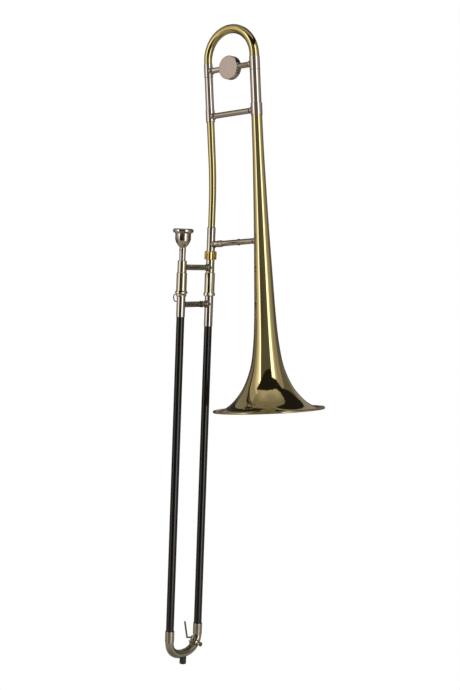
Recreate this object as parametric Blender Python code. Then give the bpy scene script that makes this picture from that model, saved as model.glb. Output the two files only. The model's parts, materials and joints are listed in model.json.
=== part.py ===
"""Tenor trombone, upright as it stands for a catalogue photograph, modelled in metres with +Z up.

The origin is the point inside the bell's throat where a stand's cone would carry it. The bell's axis
leans away from the hand slide, which hangs straight down from the swivel joint under the gooseneck.
"""
import math

import bmesh
import bpy
from mathutils import Matrix, Vector

# Overall layout
BELL_LEAN = math.radians(5.57)     # between the bell's axis and the hand slide's
LEG_SPACING = 0.1058               # centre to centre of the tuning slide's two legs
TUBE_SPACING = 0.082               # centre to centre of the hand slide's two tubes
BEND_TO_NUT = 0.1418               # from the corner of the gooseneck's two axes down to the lock nut
SEAT_TO_BEND = 0.3795              # along the bell's axis, from the stand's seat up to that corner

# Clearances
FACE_GAP = 0.0003                  # between two faces that meet
FIT_GAP = 0.0002                   # around a tube that sits fixed in another piece
RUN_GAP = 0.0003                   # around a tube that slides in another

# Bell
RIM_D = 0.2032
RIM_BEAD_D = 0.0042
SEAT_ABOVE_RIM = 0.0417
BELL_HEIGHT = 0.5326               # from the rim up to the ferrule
BELL_WALL = 0.0006
STEM_D = 0.0198
STEM_INSERT = 0.008
FLARE = (                          # share of the bell's height, outer diameter
    (0.0113, 0.1620),
    (0.0225, 0.1420),
    (0.0376, 0.1250),
    (0.0601, 0.1040),
    (0.0864, 0.0864),
    (0.1164, 0.0723),
    (0.1577, 0.0582),
    (0.2065, 0.0495),
    (0.2816, 0.0417),
    (0.3849, 0.0364),
    (0.4976, 0.0321),
    (0.6196, 0.0274),
    (0.7510, 0.0239),
    (0.8825, 0.0208),
)

# Tuning slide
FERRULE_LENGTH = 0.0225
FERRULE_WALL = 0.0005
SLEEVE_LENGTH = 0.0588             # of each outer sleeve above its ferrule
SLEEVE_WALL = 0.0006
SLEEVE_INSERT = 0.012              # of a sleeve inside its ferrule
NECK_SLEEVE_D = 0.0154
BELL_SLEEVE_D = 0.0190
LEG_WALL = 0.0005
LEG_LENGTH = 0.0725                # of each inner leg inside its sleeve
CROOK_FERRULE_LENGTH = 0.0247
CROOK_STRAIGHT = 0.0042            # of the crook between its ferrule and its bow
CROOK_INSERT = 0.008
CROOK_NECK_D = 0.0148
CROOK_BELL_D = 0.0179
CROOK_WALL = 0.0005

# Braces of the bell section
BRACE_D = 0.0104
FOOT_D = 0.0136                    # of a brace's foot where it meets a tube
FOOT_LENGTH = 0.0045
UPPER_BRACE_RISE = 0.0100          # above the ferrules' lower faces
LOWER_BRACE_RISE = 0.0123          # above the lock nut, on the slide's axis
LOWER_SOCKET_LENGTH = 0.0180
LOWER_SOCKET_D = 0.0126
LOWER_RING_PLACE = 0.0520          # from the bell's axis
LOWER_RING_LENGTH = 0.0030
LOWER_RING_D = 0.0124
TUNING_BRACE_RISE = 0.0115         # above the crook ferrules' lower faces

# Counterweight on the tuning slide's brace
WEIGHT_D = 0.0430
WEIGHT_THICKNESS = 0.0132
WEIGHT_SPLIT = 0.0008
WEIGHT_OFFSET = 0.0028             # from the middle of the legs towards the gooseneck
WEIGHT_SCREW_D = 0.0040
WEIGHT_SCREW_HEAD_D = 0.0068
WEIGHT_SCREW_HEAD = 0.0018
WEIGHT_SCREW_DROP = 0.0135

# Gooseneck and its receiver
NECK_TOP_D = 0.0143
NECK_BOTTOM_D = 0.0126
NECK_WALL = 0.0005
NECK_BEND_RADIUS = 0.890
RECEIVER_D = 0.0156
RECEIVER_TOP = 0.0602              # above the lock nut's lower face
RECEIVER_THREAD_D = 0.0190
RECEIVER_THREAD_LENGTH = 0.0090
NECK_SEAT_DEPTH = 0.0085

# Lock nut and tenon
NUT_D = 0.0226
NUT_HEIGHT = 0.0155
NUT_WALL = 0.0015
NUT_LIP = 0.0014
NUT_FLUTES = 18
NUT_FLUTE_DEPTH = 0.0005
TENON_FLANGE_D = 0.0184
TENON_FLANGE = 0.0028
TENON_BASE_D = 0.0138
TENON_TIP_D = 0.0128
TENON_TOP = 0.0460                 # above the lock nut's lower face
TENON_WALL = 0.0009
TENON_INSERT = 0.0120

# Inner hand slide
TENON_SLEEVE_D = 0.0156
TENON_SLEEVE_LENGTH = 0.0240
BARREL_D = 0.0190
BARREL_LENGTH = 0.0364
BARREL_WALL = 0.0013
BARREL_CAP = 0.0025
BARREL_BEAD_D = 0.0215
BARREL_BEAD = 0.0066
BARREL_LUG_REACH = 0.0030
BARREL_LUG_WIDTH = 0.0034
CORK_LENGTH = 0.0100
CORK_GAP = 0.0004                  # between a cork and the closed outer tube
INNER_TUBE_D = 0.0127
INNER_TUBE_WALL = 0.0004
STOCKING_D = 0.0131
STOCKING_LENGTH = 0.1500
INNER_REACH = 0.6780               # from the lock nut down to the stockings' ends
HAND_BRACE_D = 0.0104
HAND_FOOT_D = 0.0140
HAND_FOOT_LENGTH = 0.0050
INNER_BRACE_DROP = 0.0148          # below the lock nut

# Mouthpiece and its receiver
MOUTH_RECEIVER_D = 0.0165
MOUTH_RECEIVER_LENGTH = 0.0214
MOUTHPIECE_LENGTH = 0.0840
MOUTHPIECE_STANDS = 0.0577         # from its receiver up to the top of its rim
MOUTH_RIM_D = 0.0382
MOUTH_RIM_HEIGHT = 0.0080
MOUTH_CUP_BORE = 0.0255
MOUTH_BODY_D = 0.0286
MOUTH_CUP_DEPTH = 0.0230
MOUTH_BODY_HEIGHT = 0.0350         # from the rim's top down to the shank
MOUTH_THROAT_D = 0.0064
SHANK_TOP_D = 0.0118
SHANK_TIP_D = 0.0108

# Slide lock
LOCK_RING_D = 0.0226
LOCK_RING_HEIGHT = 0.0100
LOCK_RING_OVERLAP = 0.0034         # of the ring round the barrel's end
LOCK_BAND_HEIGHT = 0.0052          # of the ring's wide part, above its neck
LOCK_NECK_D = 0.0186
LOCK_TAB_REACH = 0.0019            # beyond the ring's neck
LOCK_TAB_HEIGHT = 0.0014
LOCK_TAB_WIDTH = 0.0050
LOCK_TAB_TURN = math.radians(48)   # between the ring's tab and the hook while the slide is free
HOOK_DIRECTION = math.radians(127)
HOOK_WIRE = 0.0022
HOOK_HEIGHT = 0.0096               # below the ring

# Outer hand slide
OUTER_TUBE_D = 0.0146
OUTER_TUBE_WALL = 0.0005
SLEEVE_MOUTH_LENGTH = 0.0370
SLEEVE_BELL_LENGTH = 0.0560
TOP_SLEEVE_WALL = 0.0004
OUTER_BRACE_DROP = 0.0822          # below the lock nut
OUTER_SOCKET_PLACE = 0.0200        # from the bell-side tube's axis
OUTER_SOCKET_LENGTH = 0.0050
OUTER_SOCKET_D = 0.0124
END_FERRULE_DROP = 0.6842          # below the lock nut
END_FERRULE_LENGTH = 0.0210
END_FERRULE_D = 0.0170
END_CROOK_D = 0.0156
END_CROOK_WALL = 0.0006
END_CROOK_DEPTH = 0.0290           # of its middle line below the ferrules
END_CROOK_SQUARENESS = 2.2         # 2 is an ellipse, and more is squarer
BUMPER_D = 0.0124
BUMPER_HEIGHT = 0.0120             # below the crook's outer side

# Water key
KEY_PLACE = math.radians(33)       # round the end crook, from its bell-side end
KEY_PIVOT_OUT = 0.0068             # from the crook's inner side to the pivot
KEY_SCREW_D = 0.0022
KEY_SCREW_LENGTH = 0.0178
KEY_SCREW_HEAD_D = 0.0040
KEY_HUB_D = 0.0056
KEY_HUB_LENGTH = 0.0036
KEY_POST_WIDTH = 0.0060
KEY_POST_THICKNESS = 0.0020
KEY_POST_SPACING = 0.0126
KEY_BASE_THICKNESS = 0.0028
KEY_LEVER_D = 0.0034
KEY_ARM_D = 0.0024
KEY_CUP_D = 0.0086
KEY_CUP_DEPTH = 0.0026
KEY_CORK_LENGTH = 0.0026
NIPPLE_D = 0.0052
NIPPLE_BORE = 0.0030
NIPPLE_LENGTH = 0.0030
SPRING_TURNS = 3
SPRING_PITCH = 0.0012
SPRING_WIRE = 0.0006

# Facets
BELL_SIDES = 36
TUBE_SIDES = 16
SMALL_SIDES = 12
MOUTHPIECE_SIDES = 20
WEIGHT_SIDES = 24
CROOK_STEPS = 10

# Colours: red, green, blue, roughness, metallic
COLOURS = {
    "brass": ((0.66, 0.50, 0.22), 0.16, 1.0),
    "nickel": ((0.60, 0.56, 0.50), 0.20, 1.0),
    "silver": ((0.78, 0.76, 0.73), 0.12, 1.0),
    "gold": ((0.80, 0.55, 0.18), 0.18, 1.0),
    "black": ((0.012, 0.012, 0.012), 0.12, 0.0),
    "rubber": ((0.02, 0.02, 0.02), 0.65, 0.0),
    "cork": ((0.42, 0.28, 0.15), 0.85, 0.0),
    "steel": ((0.45, 0.43, 0.40), 0.28, 1.0),
}


def material_for(node, look):
    """Give each node its own material with one of the object's few looks."""
    colour, roughness, metallic = COLOURS[look]
    material = bpy.data.materials.new(node + "_" + look)
    material.use_nodes = True
    surface = material.node_tree.nodes["Principled BSDF"]
    surface.inputs["Base Color"].default_value = (*colour, 1.0)
    surface.inputs["Roughness"].default_value = roughness
    surface.inputs["Metallic"].default_value = metallic
    material.diffuse_color = (*colour, 1.0)
    return material


def clear_scene():
    for old in list(bpy.data.objects):
        bpy.data.objects.remove(old, do_unlink=True)


def empty(name, parent=None, at=(0, 0, 0), turn=None):
    """A named pivot that carries the pieces of one body."""
    pivot = bpy.data.objects.new(name, None)
    bpy.context.scene.collection.objects.link(pivot)
    pivot.parent = parent
    pivot.location = at
    if turn is not None:
        pivot.rotation_euler = turn
    return pivot


def link_mesh(name, bm, parent, at, turn, look):
    """Turn a bmesh into an object that carries its own material."""
    mesh = bpy.data.meshes.new(name)
    bmesh.ops.recalc_face_normals(bm, faces=bm.faces)
    bm.to_mesh(mesh)
    bm.free()
    mesh.shade_smooth()
    mesh.set_sharp_from_angle(angle=math.radians(32))
    piece = bpy.data.objects.new(name, mesh)
    bpy.context.scene.collection.objects.link(piece)
    piece.parent = parent
    piece.location = at
    piece.rotation_euler = turn
    if look is None:
        piece.hide_render = True
        piece.display_type = "WIRE"
    else:
        mesh.materials.append(material_for(name, look))
    return piece


def turned(name, profile, look, parent, at=(0, 0, 0), turn=(0, 0, 0), sides=TUBE_SIDES, flutes=None):
    """Spin a profile of (radius, height) points round Z. It closes on itself or ends on the axis."""
    bm = bmesh.new()
    corners = [bm.verts.new((radius, 0, height)) for radius, height in profile]
    on_axis = profile[0][0] == 0
    pairs = list(zip(corners, corners[1:]))
    if not on_axis:
        pairs.append((corners[-1], corners[0]))
    lines = [bm.edges.new(pair) for pair in pairs]
    bmesh.ops.spin(bm, geom=corners + lines, cent=(0, 0, 0), axis=(0, 0, 1),
                   angle=math.tau, steps=sides, use_merge=True)
    bmesh.ops.remove_doubles(bm, verts=bm.verts, dist=1e-6)
    if flutes:
        outer_radius, depth = flutes
        for corner in bm.verts:
            angle = math.atan2(corner.co.y, corner.co.x)
            step = round(angle * sides / math.tau)
            radius = math.hypot(corner.co.x, corner.co.y)
            if step % 2 and radius > outer_radius:
                shrink = (radius - depth) / radius
                corner.co.x *= shrink
                corner.co.y *= shrink
    return link_mesh(name, bm, parent, at, turn, look)


def pipe_profile(outer, inner, top, bottom):
    """The closed section of a straight tube, down its outer side and up its bore."""
    return [(outer, top), (outer, bottom), (inner, bottom), (inner, top)]


def swept_tube(name, path, side, look, parent, wall, sides=TUBE_SIDES):
    """A hollow tube along a flat path of (point, direction, outer radius), with side as the flat's normal."""
    bm = bmesh.new()
    side = Vector(side)
    rings = []
    for point, direction, radius in path:
        across = Vector(direction).normalized().cross(side)
        for reach in (radius, radius - wall):
            ring = []
            for step in range(sides):
                angle = math.tau * step / sides
                spoke = math.cos(angle) * side + math.sin(angle) * across
                ring.append(bm.verts.new(Vector(point) + reach * spoke))
            rings.append(ring)
    outer, inner = rings[0::2], rings[1::2]
    for skin in (outer, inner):
        for ring, following in zip(skin, skin[1:]):
            join_rings(bm, ring, following)
    join_rings(bm, outer[0], inner[0])
    join_rings(bm, outer[-1], inner[-1])
    return link_mesh(name, bm, parent, (0, 0, 0), (0, 0, 0), look)


def join_rings(bm, ring, following):
    count = len(ring)
    for step in range(count):
        after = (step + 1) % count
        bm.faces.new((ring[step], ring[after], following[after], following[step]))


def swept_wire(name, points, radius, look, parent, sides=8, at=(0, 0, 0), turn=(0, 0, 0)):
    """A solid round wire through points, with flat ends."""
    bm = bmesh.new()
    points = [Vector(point) for point in points]
    normal = None
    rings = []
    for index, point in enumerate(points):
        before = points[max(index - 1, 0)]
        after = points[min(index + 1, len(points) - 1)]
        direction = (after - before).normalized()
        if normal is None:
            normal = direction.orthogonal().normalized()
        normal = (normal - direction * normal.dot(direction)).normalized()
        across = direction.cross(normal)
        ring = []
        for step in range(sides):
            angle = math.tau * step / sides
            ring.append(bm.verts.new(point + radius * (math.cos(angle) * normal + math.sin(angle) * across)))
        rings.append(ring)
    for ring, following in zip(rings, rings[1:]):
        join_rings(bm, ring, following)
    bm.faces.new(rings[0])
    bm.faces.new(rings[-1])
    return link_mesh(name, bm, parent, at, turn, look)


def block(name, low, high, look, parent, at=(0, 0, 0), turn=(0, 0, 0)):
    """A box between two opposite corners."""
    bm = bmesh.new()
    size = Vector(high) - Vector(low)
    middle = (Vector(high) + Vector(low)) / 2
    bmesh.ops.create_cube(bm, size=1.0, matrix=Matrix.Translation(middle) @ Matrix.Diagonal((*size, 1.0)))
    return link_mesh(name, bm, parent, at, turn, look)


def shape_with(piece, tool, operation):
    """Cut a hidden tool out of a piece, or join it on."""
    change = piece.modifiers.new(tool.name, "BOOLEAN")
    change.operation = operation
    change.solver = "EXACT"
    change.object = tool


def smooth_curve(stations, position):
    """Read a curve through (position, value) stations that never overshoots between them."""
    slopes = []
    spans = [(b[1] - a[1]) / (b[0] - a[0]) for a, b in zip(stations, stations[1:])]
    slopes.append(spans[0])
    for before, after in zip(spans, spans[1:]):
        slopes.append(0.0 if before * after <= 0 else 2 * before * after / (before + after))
    slopes.append(spans[-1])
    index = 0
    while index < len(stations) - 2 and position > stations[index + 1][0]:
        index += 1
    (start, low), (end, high) = stations[index], stations[index + 1]
    width = end - start
    share = (position - start) / width
    return ((2 * share ** 3 - 3 * share ** 2 + 1) * low
            + (share ** 3 - 2 * share ** 2 + share) * width * slopes[index]
            + (3 * share ** 2 - 2 * share ** 3) * high
            + (share ** 3 - share ** 2) * width * slopes[index + 1])


# Heights along the bell's axis, from the stand's seat
RIM_HEIGHT = -SEAT_ABOVE_RIM
FERRULE_BASE = RIM_HEIGHT + BELL_HEIGHT
FERRULE_TOP = FERRULE_BASE + FERRULE_LENGTH
SLEEVE_TOP = FERRULE_TOP + SLEEVE_LENGTH
CROOK_FERRULE_BASE = SLEEVE_TOP + FACE_GAP
CROOK_FERRULE_TOP = CROOK_FERRULE_BASE + CROOK_FERRULE_LENGTH
BOW_HEIGHT = CROOK_FERRULE_TOP + CROOK_STRAIGHT
TUNING_BRACE_HEIGHT = CROOK_FERRULE_BASE + TUNING_BRACE_RISE
UPPER_BRACE_HEIGHT = FERRULE_BASE + UPPER_BRACE_RISE

# Radii that follow from their neighbours
NECK_FERRULE_R = NECK_SLEEVE_D / 2 + FIT_GAP + FERRULE_WALL
BELL_FERRULE_R = max(BELL_SLEEVE_D, STEM_D) / 2 + FIT_GAP + FERRULE_WALL
NECK_LEG_R = NECK_SLEEVE_D / 2 - SLEEVE_WALL - RUN_GAP
BELL_LEG_R = BELL_SLEEVE_D / 2 - SLEEVE_WALL - RUN_GAP
CROOK_NECK_FERRULE_R = max(CROOK_NECK_D / 2, NECK_LEG_R) + FIT_GAP + FERRULE_WALL
CROOK_BELL_FERRULE_R = max(CROOK_BELL_D / 2, BELL_LEG_R) + FIT_GAP + FERRULE_WALL
TOP_SLEEVE_R = OUTER_TUBE_D / 2 + FIT_GAP + TOP_SLEEVE_WALL

# Heights on the hand slide, from the lock nut's lower face
BARREL_TOP = -TENON_SLEEVE_LENGTH - FACE_GAP
BARREL_BASE = BARREL_TOP - BARREL_LENGTH
BEAD_BASE = BARREL_BASE - BARREL_BEAD
CORK_TOP = BARREL_TOP - BARREL_CAP - FACE_GAP
CORK_BASE = CORK_TOP - CORK_LENGTH
OUTER_TOP = CORK_BASE - CORK_GAP
END_FERRULE_BASE = -END_FERRULE_DROP - END_FERRULE_LENGTH
END_MIDDLE = -END_FERRULE_DROP - END_FERRULE_LENGTH / 2
RING_TOP = BARREL_BASE + LOCK_RING_OVERLAP
RING_BASE = RING_TOP - LOCK_RING_HEIGHT
TAB_TOP = RING_BASE + LOCK_TAB_HEIGHT
TAB_END = LOCK_NECK_D / 2 + LOCK_TAB_REACH
TOP_SLEEVE_TOP = min(BEAD_BASE, RING_BASE) - FACE_GAP
MOUTH_RECEIVER_TOP = BARREL_TOP + FACE_GAP + MOUTH_RECEIVER_LENGTH

# The pivot of the hand slide's swivel, seen from the stand's seat
SWIVEL_Y = LEG_SPACING * math.cos(BELL_LEAN) + SEAT_TO_BEND * math.sin(BELL_LEAN)
NUT_Z = SEAT_TO_BEND * math.cos(BELL_LEAN) - LEG_SPACING * math.sin(BELL_LEAN) - BEND_TO_NUT
LOWER_BRACE_Z = NUT_Z + NUT_HEIGHT + LOWER_BRACE_RISE
LOWER_BRACE_HEIGHT = SWIVEL_Y * math.sin(BELL_LEAN) + LOWER_BRACE_Z * math.cos(BELL_LEAN)

ALONG_Y = (-math.pi / 2, 0, 0)     # turns a piece's own Z onto +Y
ALONG_X = (0, math.pi / 2, 0)      # turns a piece's own Z onto +X


def bell_stations():
    """The bell's outer radius against the height above its rim."""
    stations = [(0.0, RIM_D / 2 - RIM_BEAD_D / 2)]
    stations += [(share * BELL_HEIGHT, diameter / 2) for share, diameter in FLARE]
    stations.append((BELL_HEIGHT, STEM_D / 2))
    return stations


def bell_radius(height):
    """Outer radius at a height along the bell's axis, from the stand's seat."""
    return smooth_curve(bell_stations(), height - RIM_HEIGHT)


def bell_profile():
    """Down the outside of the stem and flare, round the rolled rim, and up the inside."""
    steps = 17
    heights = [BELL_HEIGHT * (step / steps) ** 2.1 for step in range(1, steps + 1)]
    outside = [(bell_radius(RIM_HEIGHT + height), height) for height in heights]
    inside = []
    for index, (radius, height) in enumerate(outside):
        before = outside[max(index - 1, 0)]
        after = outside[min(index + 1, len(outside) - 1)]
        run = math.hypot(after[0] - before[0], after[1] - before[1])
        inward = (after[1] - before[1]) / run
        downward = (after[0] - before[0]) / run
        inside.append((radius - BELL_WALL * inward, height + BELL_WALL * downward))
    bead = RIM_BEAD_D / 2
    bead_middle = (RIM_D / 2 - bead, bead)
    rolled = []
    for degrees in (130, 65, 0, -65):
        angle = math.radians(degrees)
        rolled.append((bead_middle[0] + bead * math.cos(angle), bead_middle[1] + bead * math.sin(angle)))
    stem_end = [(STEM_D / 2, BELL_HEIGHT + STEM_INSERT), (STEM_D / 2, BELL_HEIGHT)]
    stem_bore = [(STEM_D / 2 - BELL_WALL, BELL_HEIGHT + STEM_INSERT)]
    profile = stem_end + outside[-2::-1] + rolled + inside[:-1] + stem_bore
    return [(radius, RIM_HEIGHT + height) for radius, height in profile]


def brace_foot(name, tube_radius, reach, look, parent, at, turn, root=BRACE_D, wide=FOOT_D,
               length=FOOT_LENGTH):
    """A flared foot that grows from a brace's end. Its own Z runs from the tube's axis to the brace."""
    start = tube_radius * 0.5
    profile = [
        (0, start),
        (wide / 2, start),
        (wide / 2, reach + 0.25 * length),
        (root / 2 + 0.25 * (wide - root) / 2, reach + 0.6 * length),
        (root / 2, reach + length),
        (0, reach + length),
    ]
    return turned(name, profile[::-1], look, parent, at, turn, sides=SMALL_SIDES)


def cylinder_tool(name, radius, length, parent, at, turn=(0, 0, 0), sides=TUBE_SIDES):
    """A hidden round bar that cuts a saddle for a tube."""
    profile = [(0, length / 2), (radius, length / 2), (radius, -length / 2), (0, -length / 2)]
    return turned(name, profile, None, parent, at, turn, sides=sides)


def make_bell(root):
    turned("bell", bell_profile(), "brass", root, sides=BELL_SIDES)


def ferrule(name, outer, top, bottom, upper_bore, lower_bore, step, parent, at):
    """A ring with one bore from above and another from below, with small chamfers outside."""
    edge = 0.0004
    profile = [
        (outer - edge, top), (outer, top - edge), (outer, bottom + edge), (outer - edge, bottom),
        (lower_bore, bottom), (lower_bore, step), (upper_bore, step), (upper_bore, top),
    ]
    return turned(name, profile, "nickel", parent, at)


def make_sleeves(root):
    """Outer sleeves of the tuning slide, each standing in a ferrule on its tube."""
    sides = (
        ("gooseneck", LEG_SPACING, NECK_SLEEVE_D / 2, NECK_TOP_D / 2, NECK_FERRULE_R),
        ("bell", 0.0, BELL_SLEEVE_D / 2, STEM_D / 2, BELL_FERRULE_R),
    )
    for side, place, sleeve, tube, ring in sides:
        at = (0, place, 0)
        sleeve_base = FERRULE_TOP - SLEEVE_INSERT
        step = FERRULE_BASE + STEM_INSERT + FACE_GAP
        ferrule(side + "_ferrule", ring, FERRULE_TOP, FERRULE_BASE, sleeve + FIT_GAP,
                tube + FIT_GAP, step, root, at)
        profile = pipe_profile(sleeve, sleeve - SLEEVE_WALL, SLEEVE_TOP, max(sleeve_base, step + FACE_GAP))
        turned(side + "_sleeve", profile, "nickel", root, at)


def make_gooseneck(root):
    """The tube that falls along the tuning leg's axis and bends by the bell's lean onto the slide's axis."""
    slide_down = Vector((0, math.sin(BELL_LEAN), -math.cos(BELL_LEAN)))
    corner = Vector((0, LEG_SPACING, SEAT_TO_BEND))
    tangent = NECK_BEND_RADIUS * math.tan(BELL_LEAN / 2)
    top = FERRULE_BASE + STEM_INSERT
    foot = BEND_TO_NUT - (RECEIVER_TOP - NECK_SEAT_DEPTH)
    length = (top - SEAT_TO_BEND) + foot
    path = []

    def add(point, direction, travelled):
        share = travelled / length
        radius = NECK_TOP_D / 2 + (NECK_BOTTOM_D - NECK_TOP_D) / 2 * share
        path.append((point, direction, radius))

    add(Vector((0, LEG_SPACING, top)), Vector((0, 0, -1)), 0.0)
    add(Vector((0, LEG_SPACING, FERRULE_BASE)), Vector((0, 0, -1)), 0.0)
    steps = 4
    centre = corner + Vector((0, NECK_BEND_RADIUS, tangent))
    for step in range(steps + 1):
        angle = BELL_LEAN * step / steps
        out = Vector((0, -math.cos(angle), -math.sin(angle)))
        direction = Vector((0, math.sin(angle), -math.cos(angle)))
        travelled = top - SEAT_TO_BEND - tangent + NECK_BEND_RADIUS * angle
        add(centre + NECK_BEND_RADIUS * out, direction, travelled)
    add(corner + foot * slide_down, slide_down, length)
    swept_tube("gooseneck", path, (1, 0, 0), "brass", root, NECK_WALL)


def make_receiver(root):
    """The brass receiver round the gooseneck's end, with the thread for the lock nut."""
    bottom = NUT_LIP + FACE_GAP * 2 + TENON_FLANGE + FACE_GAP
    thread_top = bottom + RECEIVER_THREAD_LENGTH
    neck_seat = RECEIVER_TOP - NECK_SEAT_DEPTH
    bore_base = TENON_BASE_D / 2 + RUN_GAP
    bore_top = TENON_TIP_D / 2 + RUN_GAP
    throat = NECK_BOTTOM_D / 2 - NECK_WALL
    seat = NECK_BOTTOM_D / 2 + FIT_GAP
    thread = RECEIVER_THREAD_D / 2
    skin = max(RECEIVER_D / 2, bore_base + 0.0004)
    profile = [
        (skin - 0.0008, RECEIVER_TOP), (skin, RECEIVER_TOP - 0.0014),
        (skin - 0.0002, (RECEIVER_TOP + thread_top) / 2), (skin, thread_top + 0.0016),
        (thread - 0.0005, thread_top), (thread, thread_top - 0.0006),
        (thread, bottom + 0.0004), (thread - 0.0004, bottom),
        (bore_base, bottom), (bore_top, TENON_TOP + FACE_GAP), (throat, TENON_TOP + FACE_GAP),
        (throat, neck_seat - FACE_GAP), (seat, neck_seat - FACE_GAP), (seat, RECEIVER_TOP),
    ]
    pivot = empty("receiver_axis", root, at=(0, LEG_SPACING, SEAT_TO_BEND), turn=(BELL_LEAN, 0, 0))
    turned("neck_receiver", profile, "brass", pivot, at=(0, 0, -BEND_TO_NUT))
    return pivot


def make_bell_braces(root):
    """Two braces between the gooseneck side and the bell, each with feet that hug the tubes."""
    neck_skin, bell_skin = NECK_FERRULE_R, BELL_FERRULE_R
    height = UPPER_BRACE_HEIGHT
    away = (math.pi / 2, 0, 0)
    span_top = LEG_SPACING - neck_skin - FOOT_LENGTH - 2 * FACE_GAP
    span_base = bell_skin + FOOT_LENGTH + 2 * FACE_GAP
    bar = [(0, span_top), (BRACE_D / 2, span_top), (BRACE_D / 2, span_base), (0, span_base)]
    turned("upper_brace", bar, "nickel", root, (0, 0, height), ALONG_Y, sides=SMALL_SIDES)
    foot = brace_foot("upper_brace_foot_bell", bell_skin, bell_skin, "nickel", root, (0, 0, height), ALONG_Y)
    shape_with(foot, cylinder_tool("tool_upper_bell", bell_skin + FACE_GAP, 0.06, root, (0, 0, height)),
               "DIFFERENCE")
    foot = brace_foot("upper_brace_foot_neck", neck_skin, neck_skin, "nickel", root,
                      (0, LEG_SPACING, height), away)
    tool = cylinder_tool("tool_upper_neck", neck_skin + FACE_GAP, 0.06, root, (0, LEG_SPACING, height))
    shape_with(foot, tool, "DIFFERENCE")


def make_lower_brace(root):
    """The lower brace runs from the receiver's neck to the bell, with a socket and a ring on it."""
    height = LOWER_BRACE_HEIGHT
    bell_skin = bell_radius(height)
    drop = (SEAT_TO_BEND - height) / math.cos(BELL_LEAN)
    neck_place = LEG_SPACING + drop * math.sin(BELL_LEAN)
    neck_skin = RECEIVER_D / 2
    socket_end = neck_place - neck_skin - LOWER_SOCKET_LENGTH
    foot_end = bell_skin + FOOT_LENGTH
    foot = brace_foot("lower_brace_foot_bell", bell_skin, bell_skin, "nickel", root, (0, 0, height), ALONG_Y)
    reach = 2 * FOOT_D
    taper = [(0, reach), (bell_radius(height + reach) + FACE_GAP, reach),
             (bell_radius(height - reach) + FACE_GAP, -reach), (0, -reach)]
    tool = turned("tool_lower_bell", taper, None, root, (0, 0, height), sides=TUBE_SIDES)
    shape_with(foot, tool, "DIFFERENCE")
    ring_start = LOWER_RING_PLACE - LOWER_RING_LENGTH / 2
    ring_end = LOWER_RING_PLACE + LOWER_RING_LENGTH / 2
    bar = [(0, socket_end - FACE_GAP), (BRACE_D / 2, socket_end - FACE_GAP),
           (BRACE_D / 2, foot_end + FACE_GAP), (0, foot_end + FACE_GAP)]
    turned("lower_brace", bar, "nickel", root, (0, 0, height), ALONG_Y, sides=SMALL_SIDES)
    ring = LOWER_RING_D / 2
    bore = BRACE_D / 2 + FIT_GAP
    edge = 0.0005
    profile = [(ring - edge, ring_end), (ring, ring_end - edge), (ring, ring_start + edge),
               (ring - edge, ring_start), (bore, ring_start), (bore, ring_end)]
    turned("lower_brace_ring", profile, "nickel", root, (0, 0, height), ALONG_Y, sides=SMALL_SIDES)
    wide = LOWER_SOCKET_D / 2
    socket = [(0, neck_place - neck_skin * 0.5), (FOOT_D / 2, neck_place - neck_skin * 0.5),
              (FOOT_D / 2, neck_place - neck_skin - 0.0014), (wide - 0.0006, neck_place - neck_skin - 0.0036),
              (wide, socket_end + 0.0050), (wide, socket_end + 0.0008), (wide - 0.0008, socket_end),
              (0, socket_end)]
    piece = turned("lower_brace_socket", socket, "nickel", root, (0, 0, height), ALONG_Y, sides=SMALL_SIDES)
    tool = cylinder_tool("tool_lower_neck", neck_skin + FACE_GAP, 0.06, root, (0, neck_place, height),
                         (BELL_LEAN, 0, 0))
    shape_with(piece, tool, "DIFFERENCE")


def crook_path():
    """The tuning crook's middle line over the top, from the gooseneck side to the bell side."""
    neck_r, bell_r = CROOK_NECK_D / 2, CROOK_BELL_D / 2
    start = CROOK_FERRULE_TOP - CROOK_INSERT
    bow = LEG_SPACING / 2
    path = [((0, LEG_SPACING, start), (0, 0, 1), neck_r)]
    for step in range(CROOK_STEPS + 1):
        share = step / CROOK_STEPS
        angle = math.pi * share
        point = (0, bow + bow * math.cos(angle), BOW_HEIGHT + bow * math.sin(angle))
        direction = (0, -math.sin(angle), math.cos(angle))
        path.append((point, direction, neck_r + (bell_r - neck_r) * share))
    path.append(((0, 0, start), (0, 0, -1), bell_r))
    return path


def make_tuning_slide(slide):
    """The bow, its two ferrules and the inner legs that slide in the sleeves."""
    swept_tube("tuning_crook", crook_path(), (1, 0, 0), "brass", slide, CROOK_WALL)
    sides = (
        ("neck", LEG_SPACING, NECK_LEG_R, CROOK_NECK_D / 2, CROOK_NECK_FERRULE_R),
        ("bell", 0.0, BELL_LEG_R, CROOK_BELL_D / 2, CROOK_BELL_FERRULE_R),
    )
    step = CROOK_FERRULE_TOP - CROOK_INSERT - FACE_GAP
    for side, place, leg, crook, ring in sides:
        at = (0, place, 0)
        ferrule("tuning_ferrule_" + side, ring, CROOK_FERRULE_TOP, CROOK_FERRULE_BASE, crook + FIT_GAP,
                leg + FIT_GAP, step, slide, at)
        profile = pipe_profile(leg, leg - LEG_WALL, step - FACE_GAP, SLEEVE_TOP - LEG_LENGTH)
        turned("tuning_leg_" + side, profile, "nickel", slide, at)


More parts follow.
